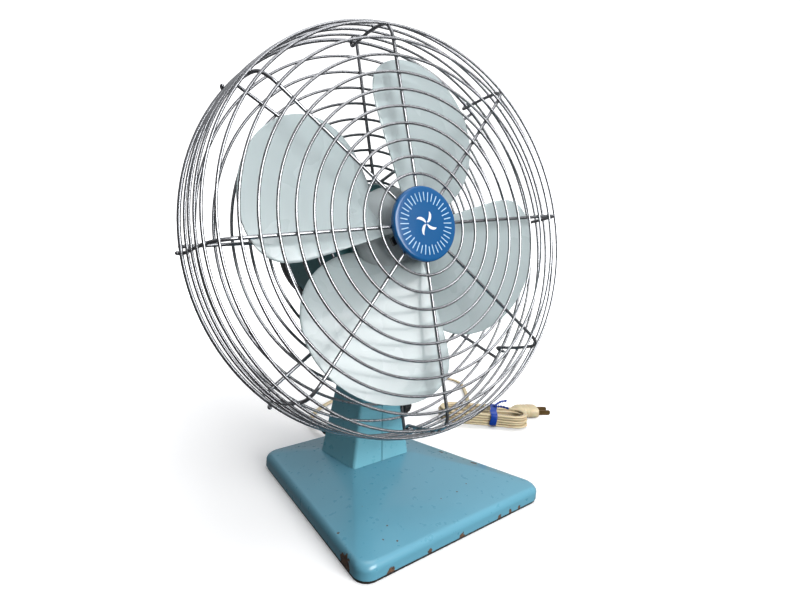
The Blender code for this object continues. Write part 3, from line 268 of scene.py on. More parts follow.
def cut(obj, cutter, operation="DIFFERENCE"):
    """Apply a Boolean at once and drop the cutter."""
    mod = obj.modifiers.new("cut", "BOOLEAN")
    mod.solver = "EXACT"
    mod.operation = operation
    mod.object = cutter
    bpy.context.view_layer.update()
    graph = bpy.context.evaluated_depsgraph_get()
    result = bpy.data.meshes.new_from_object(obj.evaluated_get(graph))
    obj.modifiers.clear()
    obj.data = result
    result.shade_smooth()
    result.set_sharp_from_angle(angle=math.radians(38.0))
    bpy.data.objects.remove(cutter, do_unlink=True)
    return obj


# Materials


class Nodes:
    """Small helper to write a node material one line at a time."""

    def __init__(self, name, color, roughness, metallic=0.0):
        self.mat = bpy.data.materials.new(name)
        self.mat.use_nodes = True
        self.tree = self.mat.node_tree
        self.shader = self.tree.nodes["Principled BSDF"]
        self.shader.inputs["Base Color"].default_value = (*color, 1.0)
        self.shader.inputs["Roughness"].default_value = roughness
        self.shader.inputs["Metallic"].default_value = metallic
        self.mat.diffuse_color = (*color, 1.0)
        self.coords = self.tree.nodes.new("ShaderNodeTexCoord").outputs["Object"]
        self.height = None

    def new(self, kind, **settings):
        node = self.tree.nodes.new(kind)
        for key, value in settings.items():
            setattr(node, key, value)
        return node

    def link(self, source, target):
        self.tree.links.new(source, target)

    def noise(self, scale, detail=3.0, rough=0.55, vector=None):
        node = self.new("ShaderNodeTexNoise")
        node.inputs["Scale"].default_value = scale
        node.inputs["Detail"].default_value = detail
        node.inputs["Roughness"].default_value = rough
        self.link(vector or self.coords, node.inputs["Vector"])
        return node.outputs["Fac"]

    def spots(self, scale, size):
        """Small round spots: 1 inside, 0 outside."""
        node = self.new("ShaderNodeTexVoronoi")
        node.inputs["Scale"].default_value = scale
        self.link(self.coords, node.inputs["Vector"])
        return self.ramp(node.outputs["Distance"], size, size * 0.7)

    def ramp(self, value, low, high):
        """0 at low and 1 at high, straight between."""
        node = self.new("ShaderNodeMapRange")
        node.clamp = True
        node.inputs["From Min"].default_value = low
        node.inputs["From Max"].default_value = high
        self.link(value, node.inputs["Value"])
        return node.outputs["Result"]

    def feed(self, sockets, values):
        """Write each number or colour into its socket, and link each output to it."""
        for socket, value in zip(sockets, values):
            if isinstance(value, (int, float)):
                socket.default_value = value
            elif isinstance(value, tuple):
                socket.default_value = (*value, 1.0)
            else:
                self.link(value, socket)

    def math(self, operation, a, b):
        node = self.new("ShaderNodeMath", operation=operation)
        self.feed(node.inputs, (a, b))
        return node.outputs["Value"]

    def mix(self, factor, a, b):
        node = self.new("ShaderNodeMix", data_type="RGBA")
        self.feed((node.inputs["Factor"], node.inputs[6], node.inputs[7]), (factor, a, b))
        return node.outputs[2]

    def blend(self, factor, a, b):
        """Number between a and b."""
        node = self.new("ShaderNodeMix", data_type="FLOAT")
        self.feed(node.inputs[:1] + node.inputs[2:4], (factor, a, b))
        return node.outputs[0]

    def bump(self, height, strength, distance):
        node = self.new("ShaderNodeBump")
        node.inputs["Strength"].default_value = strength
        node.inputs["Distance"].default_value = distance
        self.link(height, node.inputs["Height"])
        if self.height is not None:
            self.link(self.height, node.inputs["Normal"])
        self.height = node.outputs["Normal"]
        self.link(self.height, self.shader.inputs["Normal"])

    def set(self, **sockets):
        """Feed the shader's inputs, named with underscores for spaces."""
        self.feed((self.shader.inputs[key.replace("_", " ")] for key in sockets), sockets.values())


# Chips in the enamel: centre and radius, measured on the fan's visible sides
CHIPS = (
    ((-0.1050, -0.0790, 0.0050), 0.0105),
    ((-0.1060, -0.0600, 0.0030), 0.0050),
    ((-0.0820, -0.1050, 0.0030), 0.0050),
    ((-0.0413, -0.1052, 0.0042), 0.0028),
    ((-0.0040, -0.1052, 0.0030), 0.0042),
    ((0.0460, -0.1052, 0.0030), 0.0046),
    ((0.0610, -0.1052, 0.0040), 0.0030),
    ((0.0743, -0.1052, 0.0042), 0.0034),
    ((0.0990, -0.1020, 0.0050), 0.0040),
    ((-0.0499, 0.0294, 0.0225), 0.0013),
    ((-0.0631, -0.0453, 0.0216), 0.0012),
    ((-0.0963, -0.0574, 0.0160), 0.0016),
    ((-0.0617, -0.0756, 0.0186), 0.0013),
    ((-0.0756, -0.0870, 0.0174), 0.0012),
    ((-0.0670, -0.0936, 0.0167), 0.0011),
    ((0.0045, -0.0715, 0.0190), 0.0012),
    ((0.0255, -0.0712, 0.0191), 0.0015),
    ((0.0430, -0.0665, 0.0196), 0.0012),
    ((-0.0951, -0.0357, 0.0119), 0.0012),
    ((0.0747, -0.0039, 0.0191), 0.0040),
    ((0.0855, -0.0396, 0.0181), 0.0042),
)


def enamel(name, color, chips=()):
    """Glossy stoved enamel, faintly uneven, with chips down to rusted steel."""
    n = Nodes(name, color, 0.30)
    cloud = n.noise(9.0, 4.0)
    fine = n.noise(160.0, 2.0)
    dull = tuple(0.98 * c for c in color)
    bright = tuple(min(1.0, 1.02 * c) for c in color)
    paint = n.mix(n.ramp(cloud, 0.35, 0.65), dull, bright)
    grime = n.ramp(n.noise(20.0, 3.0, 0.5), 0.55, 0.85)
    paint = n.mix(n.math("MULTIPLY", grime, 0.05), paint, tuple(0.75 * c for c in color))
    rough = n.blend(n.ramp(fine, 0.3, 0.7), 0.27, 0.31)
    wobble = n.noise(240.0, 3.0, 0.6)
    mask = None
    for centre, radius in chips:
        spread = n.new("ShaderNodeVectorMath", operation="DISTANCE")
        n.link(n.coords, spread.inputs[0])
        spread.inputs[1].default_value = centre
        ragged = n.math("MULTIPLY", n.math("SUBTRACT", wobble, 0.5), 1.9 * radius)
        edge = n.math("ADD", spread.outputs["Value"], ragged)
        inside = n.ramp(edge, radius * 0.78, radius * 0.62)
        mask = inside if mask is None else n.math("MAXIMUM", mask, inside)
    flecks = n.math("MULTIPLY", n.spots(60.0, 0.022), n.ramp(n.noise(14.0, 2.0), 0.60, 0.66))
    mask = flecks if mask is None else n.math("MAXIMUM", mask, flecks)
    rust = n.mix(n.ramp(n.noise(420.0, 4.0, 0.7), 0.35, 0.65), (0.030, 0.014, 0.008), (0.16, 0.085, 0.045))
    n.set(Base_Color=n.mix(mask, paint, rust), Roughness=n.blend(mask, rough, 0.75))
    n.set(Coat_Weight=0.35, Coat_Roughness=0.12)
    n.bump(n.noise(300.0, 2.0), 0.02, 0.0001)
    n.bump(n.math("SUBTRACT", 1.0, mask), 0.5, 0.0003)
    return n.mat


def chrome(name, color, roughness, pits=0.5):
    """Bright plated wire with a little pitting and dulling."""
    n = Nodes(name, color, roughness, 1.0)
    haze = n.ramp(n.noise(55.0, 4.0, 0.65), 0.40, 0.72)
    dull = tuple(0.70 * c for c in color)
    metal = n.mix(n.math("MULTIPLY", haze, 0.2), color, dull)
    pit = n.math("MULTIPLY", n.spots(330.0, 0.16), n.ramp(n.noise(38.0, 3.0), 0.50, 0.62))
    pit = n.math("MULTIPLY", pit, pits)
    n.set(Base_Color=n.mix(pit, metal, (0.10, 0.065, 0.045)))
    n.set(Roughness=n.blend(haze, roughness, roughness + 0.06))
    return n.mat


def moulded(name, color, roughness, variation=0.08, subsurface=0.0, grain=700.0, bump=0.08):
    """Moulded plastic with slight clouding and a fine surface."""
    n = Nodes(name, color, roughness)
    cloud = n.ramp(n.noise(11.0, 4.0), 0.35, 0.65)
    low = tuple((1.0 - variation) * c for c in color)
    n.set(Base_Color=n.mix(cloud, low, color))
    n.set(Roughness=n.blend(n.ramp(n.noise(60.0, 3.0), 0.35, 0.65), roughness * 0.85, roughness * 1.2))
    n.set(Subsurface_Weight=subsurface, Subsurface_Scale=0.004)
    n.bump(n.noise(grain, 2.0), bump, 0.0002)
    return n.mat


def worn_metal(name, color, roughness, streak=0.3):
    """Machined or plated steel with fine scratches and tarnish."""
    n = Nodes(name, color, roughness, 1.0)
    tarnish = n.ramp(n.noise(70.0, 5.0, 0.7), 0.42, 0.72)
    n.set(Base_Color=n.mix(n.math("MULTIPLY", tarnish, streak), color, tuple(0.45 * c for c in color)))
    n.set(Roughness=n.blend(tarnish, roughness, min(1.0, roughness + 0.22)))
    n.bump(n.noise(1100.0, 2.0), 0.1, 0.0001)
    return n.mat


def blade_plastic():
    """Pale mint moulding: glossy, a little see-through, with faint random patches of dust."""
    n = Nodes("blade_mint", (0.44, 0.510, 0.520), 0.30)
    cloud = n.ramp(n.noise(8.0, 4.0), 0.35, 0.65)
    plastic = n.mix(cloud, (0.435, 0.505, 0.515), (0.447, 0.517, 0.527))
    dust = n.ramp(n.noise(16.0, 3.0, 0.5), 0.50, 0.80)
    n.set(Base_Color=n.mix(n.math("MULTIPLY", dust, 0.06), plastic, (0.38, 0.44, 0.43)))
    n.set(Roughness=n.blend(dust, 0.27, 0.33), Subsurface_Weight=0.12, Coat_Weight=0.25)
    n.shader.inputs["Subsurface Radius"].default_value = (0.8, 1.0, 0.9)
    n.set(Subsurface_Scale=0.003)
    n.bump(n.noise(260.0, 2.0), 0.02, 0.0001)
    return n.mat


ENAMEL_BASE = enamel("base_enamel", (0.112, 0.330, 0.440), CHIPS)
ENAMEL_NECK = enamel("neck_enamel", (0.165, 0.430, 0.520))
TEAL = enamel("motor_enamel", (0.090, 0.250, 0.265))
CHROME = chrome("guard_chrome", (0.34, 0.345, 0.36), 0.22, pits=0.2)
CHROME_DULL = chrome("rear_guard_chrome", (0.30, 0.305, 0.32), 0.26, pits=0.3)
MINT = blade_plastic()
HUB = moulded("hub_silver", (0.50, 0.55, 0.56), 0.34, 0.12)
BLACK = moulded("black_moulding", (0.014, 0.014, 0.015), 0.42, 0.2)
BADGE_FACE = moulded("badge_blue", (0.003, 0.085, 0.250), 0.12, 0.03, bump=0.01)
BADGE_MARKS = moulded("badge_marks", (0.45, 0.68, 0.85), 0.35, 0.05)
WHITE_MARK = moulded("white_mark", (0.80, 0.83, 0.86), 0.35, 0.05)
STEEL = worn_metal("zinc_plate", (0.56, 0.56, 0.57), 0.32)
LAMINATION = worn_metal("laminations", (0.20, 0.20, 0.21), 0.5, 0.5)
COPPER = worn_metal("windings", (0.60, 0.25, 0.10), 0.35)
BRONZE = worn_metal("bearing_bronze", (0.50, 0.33, 0.15), 0.4)
BRASS = worn_metal("plug_brass", (0.40, 0.25, 0.10), 0.30, 0.6)
RUBBER = moulded("pad_rubber", (0.022, 0.020, 0.019), 0.85, 0.3, grain=1400.0, bump=0.4)
FIBRE = moulded("fibreboard", (0.045, 0.040, 0.036), 0.85, 0.3, grain=1400.0, bump=0.4)
IVORY = moulded("cord_ivory", (0.70, 0.585, 0.375), 0.40, 0.16, 0.08)
TIE_BLUE = moulded("tie_blue", (0.006, 0.050, 0.350), 0.30, 0.1)

# Camera

CAMERA_AT = Vector((-0.3625, -0.3965, 0.2811))
CAMERA_YAW = math.radians(42.923)
CAMERA_PITCH = math.radians(-10.239)
CAMERA_ROLL = math.radians(3.831)
CAMERA_LENS = 27.12


def make_camera():
    data = bpy.data.cameras.new("camera")
    data.lens = CAMERA_LENS
    data.sensor_width = 36.0
    data.clip_start = 0.01
    level = Vector((math.sin(CAMERA_YAW), math.cos(CAMERA_YAW), 0.0))
    forward = level * math.cos(CAMERA_PITCH) + Vector((0.0, 0.0, math.sin(CAMERA_PITCH)))
    right = Vector((math.cos(CAMERA_YAW), -math.sin(CAMERA_YAW), 0.0))
    up = right.cross(forward)
    x_axis = math.cos(CAMERA_ROLL) * right + math.sin(CAMERA_ROLL) * up
    y_axis = math.cos(CAMERA_ROLL) * up - math.sin(CAMERA_ROLL) * right
    turn = Matrix((x_axis, y_axis, -forward)).transposed().to_4x4()
    camera = bpy.data.objects.new("camera", data)
    camera.matrix_world = Matrix.Translation(CAMERA_AT) @ turn
    bpy.context.scene.collection.objects.link(camera)
    bpy.context.scene.camera = camera


make_camera()

# Cord: lead, hank, tail, plug and tie

LEAD_ROUTE = (
    (0.022, BASE_DEPTH / 2 + 0.0246, 0.0090), (0.0224, 0.1420, 0.0082), (0.0330, 0.1720, 0.0036),
    (0.0680, 0.2010, 0.0031), (0.1250, 0.2230, 0.0031), (0.1900, 0.2330, 0.0031), (0.2520, 0.2300, 0.0031),
    (0.2960, 0.2110, 0.0031), (0.3040, 0.1780, 0.0031), (0.2800, 0.1440, 0.0031), (0.2500, 0.1120, 0.0031),
)
LEAD_TURN_IN = ((-0.0125, 0.0400, 0.0033), (-0.0065, 0.0235, 0.0034), (0.0060, 0.0163, 0.0036))
TAIL_TURN_OUT = ((0.0120, 0.0180, 0.0172), (0.0240, 0.0265, 0.0122))
HANK_TURNS = 5
HANK_RISE = 0.0031  # per turn
HANK_STRAIGHT = 0.0380  # half the straight part of a turn
TIE_AT = 0.0120


def hank_point(x, y, z=0.0):
    """Point given along and across the hank."""
    return HANK_CENTRE + Matrix.Rotation(HANK_ANGLE, 3, "Z") @ Vector((x, y, z))


def hank_path():
    """Long turns with round ends, wide and narrow by turns, drawn in a little where the tie holds them."""
    points = []
    first, last = 0.02, HANK_TURNS - 0.02
    count = HANK_TURNS * 80
    for i in range(count + 1):
        turn = first + (last - first) * i / count
        radius = 0.0154 + 0.0013 * math.cos(math.pi * turn)
        bend = math.pi * radius
        s = (turn % 1.0) * (4 * HANK_STRAIGHT + 2 * bend)
        if s < HANK_STRAIGHT:
            x, y = s, radius
        elif s < HANK_STRAIGHT + bend:
            a = (s - HANK_STRAIGHT) / radius
            x, y = HANK_STRAIGHT + radius * math.sin(a), radius * math.cos(a)
        elif s < 3 * HANK_STRAIGHT + bend:
            x, y = 2 * HANK_STRAIGHT + bend - s, -radius
        elif s < 3 * HANK_STRAIGHT + 2 * bend:
            a = (s - 3 * HANK_STRAIGHT - bend) / radius
            x, y = -HANK_STRAIGHT - radius * math.sin(a), -radius * math.cos(a)
        else:
            x, y = s - 4 * HANK_STRAIGHT - 2 * bend, radius
        y *= 1.0 - 0.09 * math.exp(-((x - TIE_AT) / 0.018) ** 2)
        wander = 0.0006 * math.sin(2.3 * turn + 1.0) * math.sin(2 * math.pi * turn)
        points.append(hank_point(x + wander, y, 0.0035 + HANK_RISE * turn))
    return points


def flat_cord(name, path):
    """Two-core flat cord: a sweep of a section with a waist down its middle."""
    section = []
    for k in range(20):
        a = 2.0 * math.pi * k / 20
        c, s = math.cos(a), math.sin(a)
        bulge = 1.0 - 0.30 * math.exp(-(c / 0.28) ** 2)
        section.append((0.5 * CORD_W * c, 0.5 * CORD_T * s * bulge * (1.0 + 0.25 * c * c)))
    shape = Shape()
    rings = []
    flat = Vector((0.0, 0.0, 1.0))
    for i, point in enumerate(path):
        tangent = tangent_at(path, i)
        flat = (flat - flat.dot(tangent) * tangent).normalized()
        flat = (flat * 0.9 + Vector((0.0, 0.0, 1.0)) * 0.1)
        flat = (flat - flat.dot(tangent) * tangent).normalized()
        across = tangent.cross(flat)
        rings.append([point + across * u + flat * v for u, v in section])
    shape.loft(rings)
    return shape.build(name, IVORY, angle=70.0)


def resample(path, spacing):
    total = path_length(path)
    count = max(2, round(total / spacing))
    lengths = [0.0]
    for a, b in zip(path[:-1], path[1:]):
        lengths.append(lengths[-1] + (b - a).length)
    result = []
    j = 0
    for k in range(count + 1):
        target = total * k / count
        while j < len(lengths) - 2 and lengths[j + 1] < target:
            j += 1
        span = lengths[j + 1] - lengths[j]
        t = (target - lengths[j]) / span if span else 0.0
        result.append(path[j].lerp(path[j + 1], t))
    return result


def make_cord():
    """Floor lead, hank and tail as one even path."""
    lead_in = [hank_point(*p) for p in LEAD_TURN_IN]
    lead = smooth_path([Vector(p) for p in LEAD_ROUTE] + lead_in)
    hank = hank_path()
    ahead = Matrix.Rotation(HANK_ANGLE, 3, "Z") @ Vector((1.0, 0.0, 0.0))
    hank = [p for i, p in enumerate(hank) if i > 40 or (p - lead[-1]).dot(ahead) > 0.003]
    rear = PLUG_REAR - PLUG_DIR * 0.0103
    near = rear - PLUG_DIR * 0.0060 + Vector((0.0, 0.0, 0.0006))
    tail = smooth_path([hank[-1], *(hank_point(*p) for p in TAIL_TURN_OUT), near, rear])
    whole = resample(lead + hank + tail[1:], 0.0030)
    for _ in range(6):
        inner = [(a + 2 * b + c) / 4 for a, b, c in zip(whole[:-2], whole[1:-1], whole[2:])]
        whole = [whole[0], *inner, whole[-1]]
    return whole


cord_path = make_cord()
cord = flat_cord("power_cord", cord_path)
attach(cord, "base")
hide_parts("cord_lead", "cord_hank", "cord_tail")


def make_plug():
    """Plug body: a softly squared barrel with finger ribs, drawn in to a narrow neck."""
    across = PLUG_DIR.cross(Vector((0.0, 0.0, 1.0)))
    stations = (
        (-0.0098, 0.0034, 0.0030), (-0.0088, 0.0041, 0.0035), (-0.0062, 0.0043, 0.0037),
        (-0.0034, 0.0052, 0.0042), (0.0000, 0.0078, 0.0057), (0.0030, 0.0098, 0.0065),
        (0.0060, 0.0112, 0.0068), (0.0080, 0.0116, 0.0069), (0.0090, 0.0111, 0.0065),
        (0.0100, 0.0116, 0.0069), (0.0120, 0.0118, 0.0069), (0.0130, 0.0113, 0.0065),
        (0.0140, 0.0118, 0.0069), (0.0160, 0.0120, 0.0069), (0.0170, 0.0115, 0.0065),
        (0.0180, 0.0120, 0.0069), (0.0250, 0.0122, 0.0069), (0.0288, 0.0119, 0.0067),
        (0.0298, 0.0112, 0.0061), (0.0300, 0.0098, 0.0050),
    )
    rings = []
    for x, half_w, half_h in stations:
        ring = []
        for k in range(40):
            a = 2 * math.pi * k / 40
            c, s = math.cos(a), math.sin(a)
            u = squared(c, 0.62) * half_w
            v = squared(s, 0.62) * half_h
            ring.append(PLUG_REAR + PLUG_DIR * x + across * u + Vector((0.0, 0.0, v)))
        rings.append(ring)
    plug = Shape().loft(rings).build("plug_moulding", IVORY, angle=50.0)
    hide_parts("plug_body")
    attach(plug, "base")
    return plug


def make_plug_blade(number, side):
    """Flat contact with a rounded tip and a hole."""
    across = PLUG_DIR.cross(Vector((0.0, 0.0, 1.0)))
    turn = Matrix((PLUG_DIR, across, Vector((0.0, 0.0, 1.0)))).transposed().to_4x4()
    place = Matrix.Translation(PLUG_REAR + across * side * 0.00635) @ turn
    outline = [(0.0275, -0.00315), (0.0448, -0.00315), (0.0462, -0.0026), (0.0470, -0.0014), (0.0470, 0.0014),
               (0.0462, 0.0026), (0.0448, 0.00315), (0.0275, 0.00315)]
    rings = [[Vector((x, y, z)) for x, z in outline] for y in (-0.00072, 0.00072)]
    blade = Shape().loft(rings).build(f"contact_{number}", BRASS, place=place)
    hole = Shape().lathe([(0.0014, -0.004), (0.0014, 0.004)], 24, centre=(0.0425, 0.0, 0.0)).build(
        "contact_hole", BRASS, place=place)
    cut(blade, hole)
    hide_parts(f"plug_blade_{number}")
    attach(blade, "base")
    return blade


def make_tie():
    """Flat paper-and-wire twist tie: a snug band and two twisted ends."""
    at = TIE_AT
    half_w = HANK_WIDTH / 2
    low, high = 0.0014, 0.0226
    band = ((-0.0040, 0.0), (0.0, 0.0003), (0.0040, 0.0), (0.0040, 0.0009), (0.0, 0.0013), (-0.0040, 0.0009))
    rings = []
    count = 48
    for k in range(count):
        a = 2 * math.pi * k / count
        c, s = math.cos(a), math.sin(a)
        y = squared(c, 0.7) * (half_w * 0.90)
        z = (low + high) / 2 + squared(s, 0.7) * (high - low) / 2
        slack = 0.0006 * math.sin(5 * a)
        out = Vector((0.0, c, s))
        ring = []
        for x, grow in band:
            ring.append(hank_point(at + x + slack, y + out.y * grow, z + out.z * grow))
        rings.append(ring)
    shape = Shape().loft(rings, cyclic=True)
    strip = ((-0.0016, -0.0003), (0.0016, -0.0003), (0.0016, 0.0003), (-0.0016, 0.0003))
    for side, rise in ((1, 0.0058), (-1, 0.0036)):
        path = smooth_path([Vector(p) for p in (
            (at, 0.0, high + 0.0006), (at + 0.004, 0.003 * side, high + 0.0022),
            (at + 0.010, 0.006 * side + 0.002, high + rise * 0.8),
            (at + 0.018, 0.011 * side, high + rise))], 8)
        rings = []
        for i, p in enumerate(path):
            twist = 0.9 * i
            flat = Vector((0.0, math.cos(twist), math.sin(twist)))
            tangent = tangent_at(path, i)
            flat = (flat - flat.dot(tangent) * tangent).normalized()
            other = tangent.cross(flat)
            rings.append([hank_point(*(p + flat * u + other * v)) for u, v in strip])
        shape.loft(rings)
    tie = shape.build("twist_tie", TIE_BLUE, angle=50.0)
    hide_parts("cord_tie")
    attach(tie, "base")
    return tie


def make_relief():
    """Tapered strain relief with ribs."""
    y0 = BASE_DEPTH / 2
    profile = [(0.0010, y0 - 0.0050), (0.0038, y0 - 0.0050), (0.0038, y0 + 0.0004), (0.0058, y0 + 0.0006),
               (0.0058, y0 + 0.0026), (0.0052, y0 + 0.0034)]
    for k in range(6):
        y = y0 + 0.0050 + 0.0030 * k
        r = 0.0050 - 0.00022 * k
        profile += [(r, y), (r, y + 0.0014), (r - 0.0009, y + 0.0017), (r - 0.0009, y + 0.0027)]
    profile += [(0.0034, y0 + 0.0236), (0.0030, y0 + 0.0240), (0.0008, y0 + 0.0240)]
    relief = Shape().lathe(profile, 32, centre=(CORD_EXIT.x, 0.0, CORD_EXIT.z)).build("cord_gland", BLACK)
    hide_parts("cord_relief")
    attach(relief, "base")
    return relief


plug = make_plug()
contacts = [make_plug_blade(1, -1), make_plug_blade(2, 1)]
tie = make_tie()
relief = make_relief()

# Base


def plan_outline(front_w, rear_w, depth, radius, steps=12, centre_y=0.0):
    """Rounded trapezoid in plan, anticlockwise from above."""
    corners = [
        Vector((front_w / 2, -depth / 2)),
        Vector((rear_w / 2, depth / 2)),
        Vector((-rear_w / 2, depth / 2)),
        Vector((-front_w / 2, -depth / 2)),
    ]
    points = []
    for i, corner in enumerate(corners):
        to_before = (corners[i - 1] - corner).normalized()
        to_after = (corners[(i + 1) % 4] - corner).normalized()
        half = to_before.angle(to_after) / 2
        centre = corner + (to_before + to_after).normalized() * (radius / math.sin(half))
        reach = radius / math.tan(half)
        first = corner + to_before * reach - centre
        last = corner + to_after * reach - centre
        sweep = math.atan2(first.cross(last), first.dot(last))
        for k in range(steps):
            a = sweep * k / (steps - 1)
            x = first.x * math.cos(a) - first.y * math.sin(a)
            y = first.x * math.sin(a) + first.y * math.cos(a)
            points.append((centre.x + x, centre.y + y + centre_y))
    return points


def base_ring(inset, z, radius):
    outline = plan_outline(BASE_FRONT_W - 2 * inset, BASE_REAR_W - 2 * inset, BASE_DEPTH - 2 * inset, radius)
    return [Vector((x, y, z)) for x, y in outline]


def seat_ring(width, depth, z, radius):
    return [Vector((x, y, z)) for x, y in plan_outline(width, width, depth, radius, centre_y=NECK_Y)]


def make_base():
    """Pressed steel shell with a rolled shoulder and a soft-ridged top."""
    outer = [base_ring(0.0006, BASE_LIFT, BASE_CORNER_R), base_ring(0.0, BASE_LIFT + 0.0006, BASE_CORNER_R)]
    shoulder_z = 0.0086
    outer.append(base_ring(0.0001, shoulder_z, BASE_CORNER_R))
    steps = 9
    for k in range(1, steps + 1):
        a = math.radians(86.0) * k / steps
        inset = SKIRT_INSET * (1.0 - math.cos(a)) / (1.0 - math.cos(math.radians(86.0)))
        z = shoulder_z + (SKIRT_Z - shoulder_z) * math.sin(a)
        outer.append(base_ring(inset, z, BASE_CORNER_R))
    edge = outer[-1]
    seat_w = NECK_W + 0.0040
    seat_d = NECK_D + 0.0040
    seat_z = NECK_Z0 - 0.0003
    seat = seat_ring(seat_w, seat_d, seat_z, 0.004)
    for k in range(1, 8):
        t = k / 8.0
        sag = 0.0006 * math.sin(math.pi * t)
        outer.append([a.lerp(b, t) + Vector((0.0, 0.0, sag)) for a, b in zip(edge, seat)])
    outer += [seat, seat_ring(0.040, 0.030, seat_z, 0.004)]
    inner = [
        seat_ring(0.040, 0.030, seat_z - SHEET, 0.004),
        seat_ring(seat_w, seat_d, seat_z - SHEET - 0.0002, 0.004),
        base_ring(SKIRT_INSET + SHEET, SKIRT_Z - SHEET, BASE_CORNER_R - SHEET),
        base_ring(0.0020 + SHEET, 0.0115, BASE_CORNER_R - SHEET),
        base_ring(SHEET, BASE_LIFT, BASE_CORNER_R - SHEET),
    ]
    shape = Shape()
    shape.loft(outer + inner, cyclic=True)
    shell = shape.build("base_pressing", ENAMEL_BASE, angle=40.0)
    port = Shape().lathe([(0.0042, BASE_DEPTH / 2 - 0.010), (0.0042, BASE_DEPTH / 2 + 0.010)], 28,
                         centre=(CORD_EXIT.x, 0.0, CORD_EXIT.z)).build("cord_port", ENAMEL_BASE)
    cut(shell, port)
    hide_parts("base_shell")
    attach(shell, "base")


make_base()

# Neck


def neck_half(name, node, side):
    """One pressed half: rounded corners and a rolled-in seam edge."""
    shape = Shape()
    rings = []
    steps = 14
    for i in range(steps + 1):
        t = i / steps
        z = NECK_Z0 + (NECK_Z1 - NECK_Z0) * t
        rise = z - NECK_Z0
        half_w = NECK_W / 2 - NECK_TAPER_X * rise
        half_d = NECK_D / 2 - NECK_TAPER_Y * rise
        outline = []
        for inset, order in ((0.0, 1), (SHEET, -1)):
            hw, hd = half_w - inset, half_d - inset
            r = max(0.0032 - inset, 0.0009)
            gap = 0.00025
            pts = [(gap, -hd + 0.0009), (gap + 0.0003, -hd + 0.0003), (gap + 0.0011, -hd)] if not inset else [
                (gap, -hd), (gap + 0.0004, -hd), (gap + 0.0011, -hd)]
            for k in range(7):
                a = -math.pi / 2 + math.pi / 2 * k / 6
                pts.append((hw - r + r * math.cos(a), -hd + r + r * math.sin(a)))
            for k in range(7):
                a = math.pi / 2 * k / 6
                pts.append((hw - r + r * math.cos(a), hd - r + r * math.sin(a)))
            pts += [(gap + 0.0011, hd), (gap + 0.0003, hd - 0.0003), (gap, hd - 0.0009)] if not inset else [
                (gap + 0.0011, hd), (gap + 0.0004, hd), (gap, hd)]
            outline += pts[::order]
        rings.append([Vector((side * x, NECK_Y + y, z)) for x, y in outline])
    shape.loft(rings)
    half = shape.build(name, ENAMEL_NECK, angle=40.0)
    if side > 0:
        port = Shape().lathe([(0.0050, 0.015), (0.0050, 0.045)], 28, centre=(0.0, 0.0, 0.0)).build(
            "switch_port", ENAMEL_NECK, place=Matrix.Translation((0.0, SPEED_Y, SPEED_Z))
            @ Matrix.Rotation(math.radians(-90.0), 4, "Z"))
        cut(half, port)
    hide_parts(node)
    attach(half, "base")


neck_half("neck_pressing_left", "neck_left", -1)
neck_half("neck_pressing_right", "neck_right", 1)

# Knobs


def fluted(name, node, body, profile, flutes, depth, place, segments=120):
    """Turned knob whose grip band carries shallow flutes; profile entries are (radius, y, flute share)."""
    rings = []
    for radius, y, share in profile:
        ring = []
        for k in range(segments):
            a = 2 * math.pi * k / segments
            r = radius - share * depth * (0.5 - 0.5 * math.cos(flutes * a)) ** 0.6
            ring.append(Vector((r * math.sin(a), y, r * math.cos(a))))
        rings.append(ring)
    knob = Shape().loft(rings).build(name, BLACK, place=place, angle=50.0)
    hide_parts(node)
    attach(knob, body)
    return knob


TO_X = Matrix.Rotation(math.radians(-90.0), 4, "Z")
SPEED_PLACE = Matrix.Translation((KNOB_X, SPEED_Y, SPEED_Z)) @ TO_X
fluted("speed_dial_knob", "speed_knob", "speed_dial",
       [(0.0105, 0.0, 0.0), (0.0116, 0.0004, 0.0), (0.0117, 0.0020, 0.0), (0.0114, 0.0026, 0.5),
        (0.0112, 0.0034, 1.0), (0.0108, 0.0096, 1.0), (0.0103, 0.0107, 0.5), (0.0095, 0.0112, 0.0),
        (0.0040, 0.0116, 0.0)],
       20, 0.0009, SPEED_PLACE)
pointer = Shape().box((-0.0007, 0.0112, 0.0010), (0.0007, 0.01235, 0.0094)).build(
    "speed_pointer", WHITE_MARK, place=SPEED_PLACE, bevel=0.0003)
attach(pointer, "speed_dial")

CLAMP_PLACE = Matrix.Translation((EAR_OUT + 0.0018, PIVOT.y, PIVOT.z)) @ TO_X
fluted("tilt_clamp_knob", "tilt_knob", "tilt_clamp",
       [(0.0060, 0.0, 0.0), (0.0098, 0.0003, 0.3), (0.0108, 0.0012, 1.0), (0.0112, 0.0030, 1.0),
        (0.0112, 0.0070, 1.0), (0.0106, 0.0086, 1.0), (0.0094, 0.0096, 0.6), (0.0070, 0.0100, 0.0)],
       5, 0.0026, CLAMP_PLACE)

# Motor

BELL_PROFILE = (
    (0.0135, -0.0400), (0.0260, -0.0388), (0.0350, -0.0300), (0.0478, -0.0300), (0.0492, -0.0265),
    (0.0520, -0.0150), (0.0550, 0.0000), (0.0580, 0.0200), (0.0595, 0.0500),
)
VENT_ROWS = ((0.0518, -0.0175), (0.0543, -0.0040), (0.0570, 0.0125))
VENTS_PER_ROW = 10
CRANK_Y = 0.0680


def rounded(profile, radius=0.0014, steps=4):
    """Profile with its inner corners rounded off."""
    result = [profile[0]]
    for before, here, after in zip(profile[:-2], profile[1:-1], profile[2:]):
        a, p, b = Vector(before), Vector(here), Vector(after)
        r = min(radius, (a - p).length * 0.45, (b - p).length * 0.45)
        start = p + (a - p).normalized() * r
        end = p + (b - p).normalized() * r
        for k in range(steps + 1):
            t = k / steps
            point = start.lerp(p, t).lerp(p.lerp(end, t), t)
            result.append((point.x, point.y))
    result.append(profile[-1])
    return result


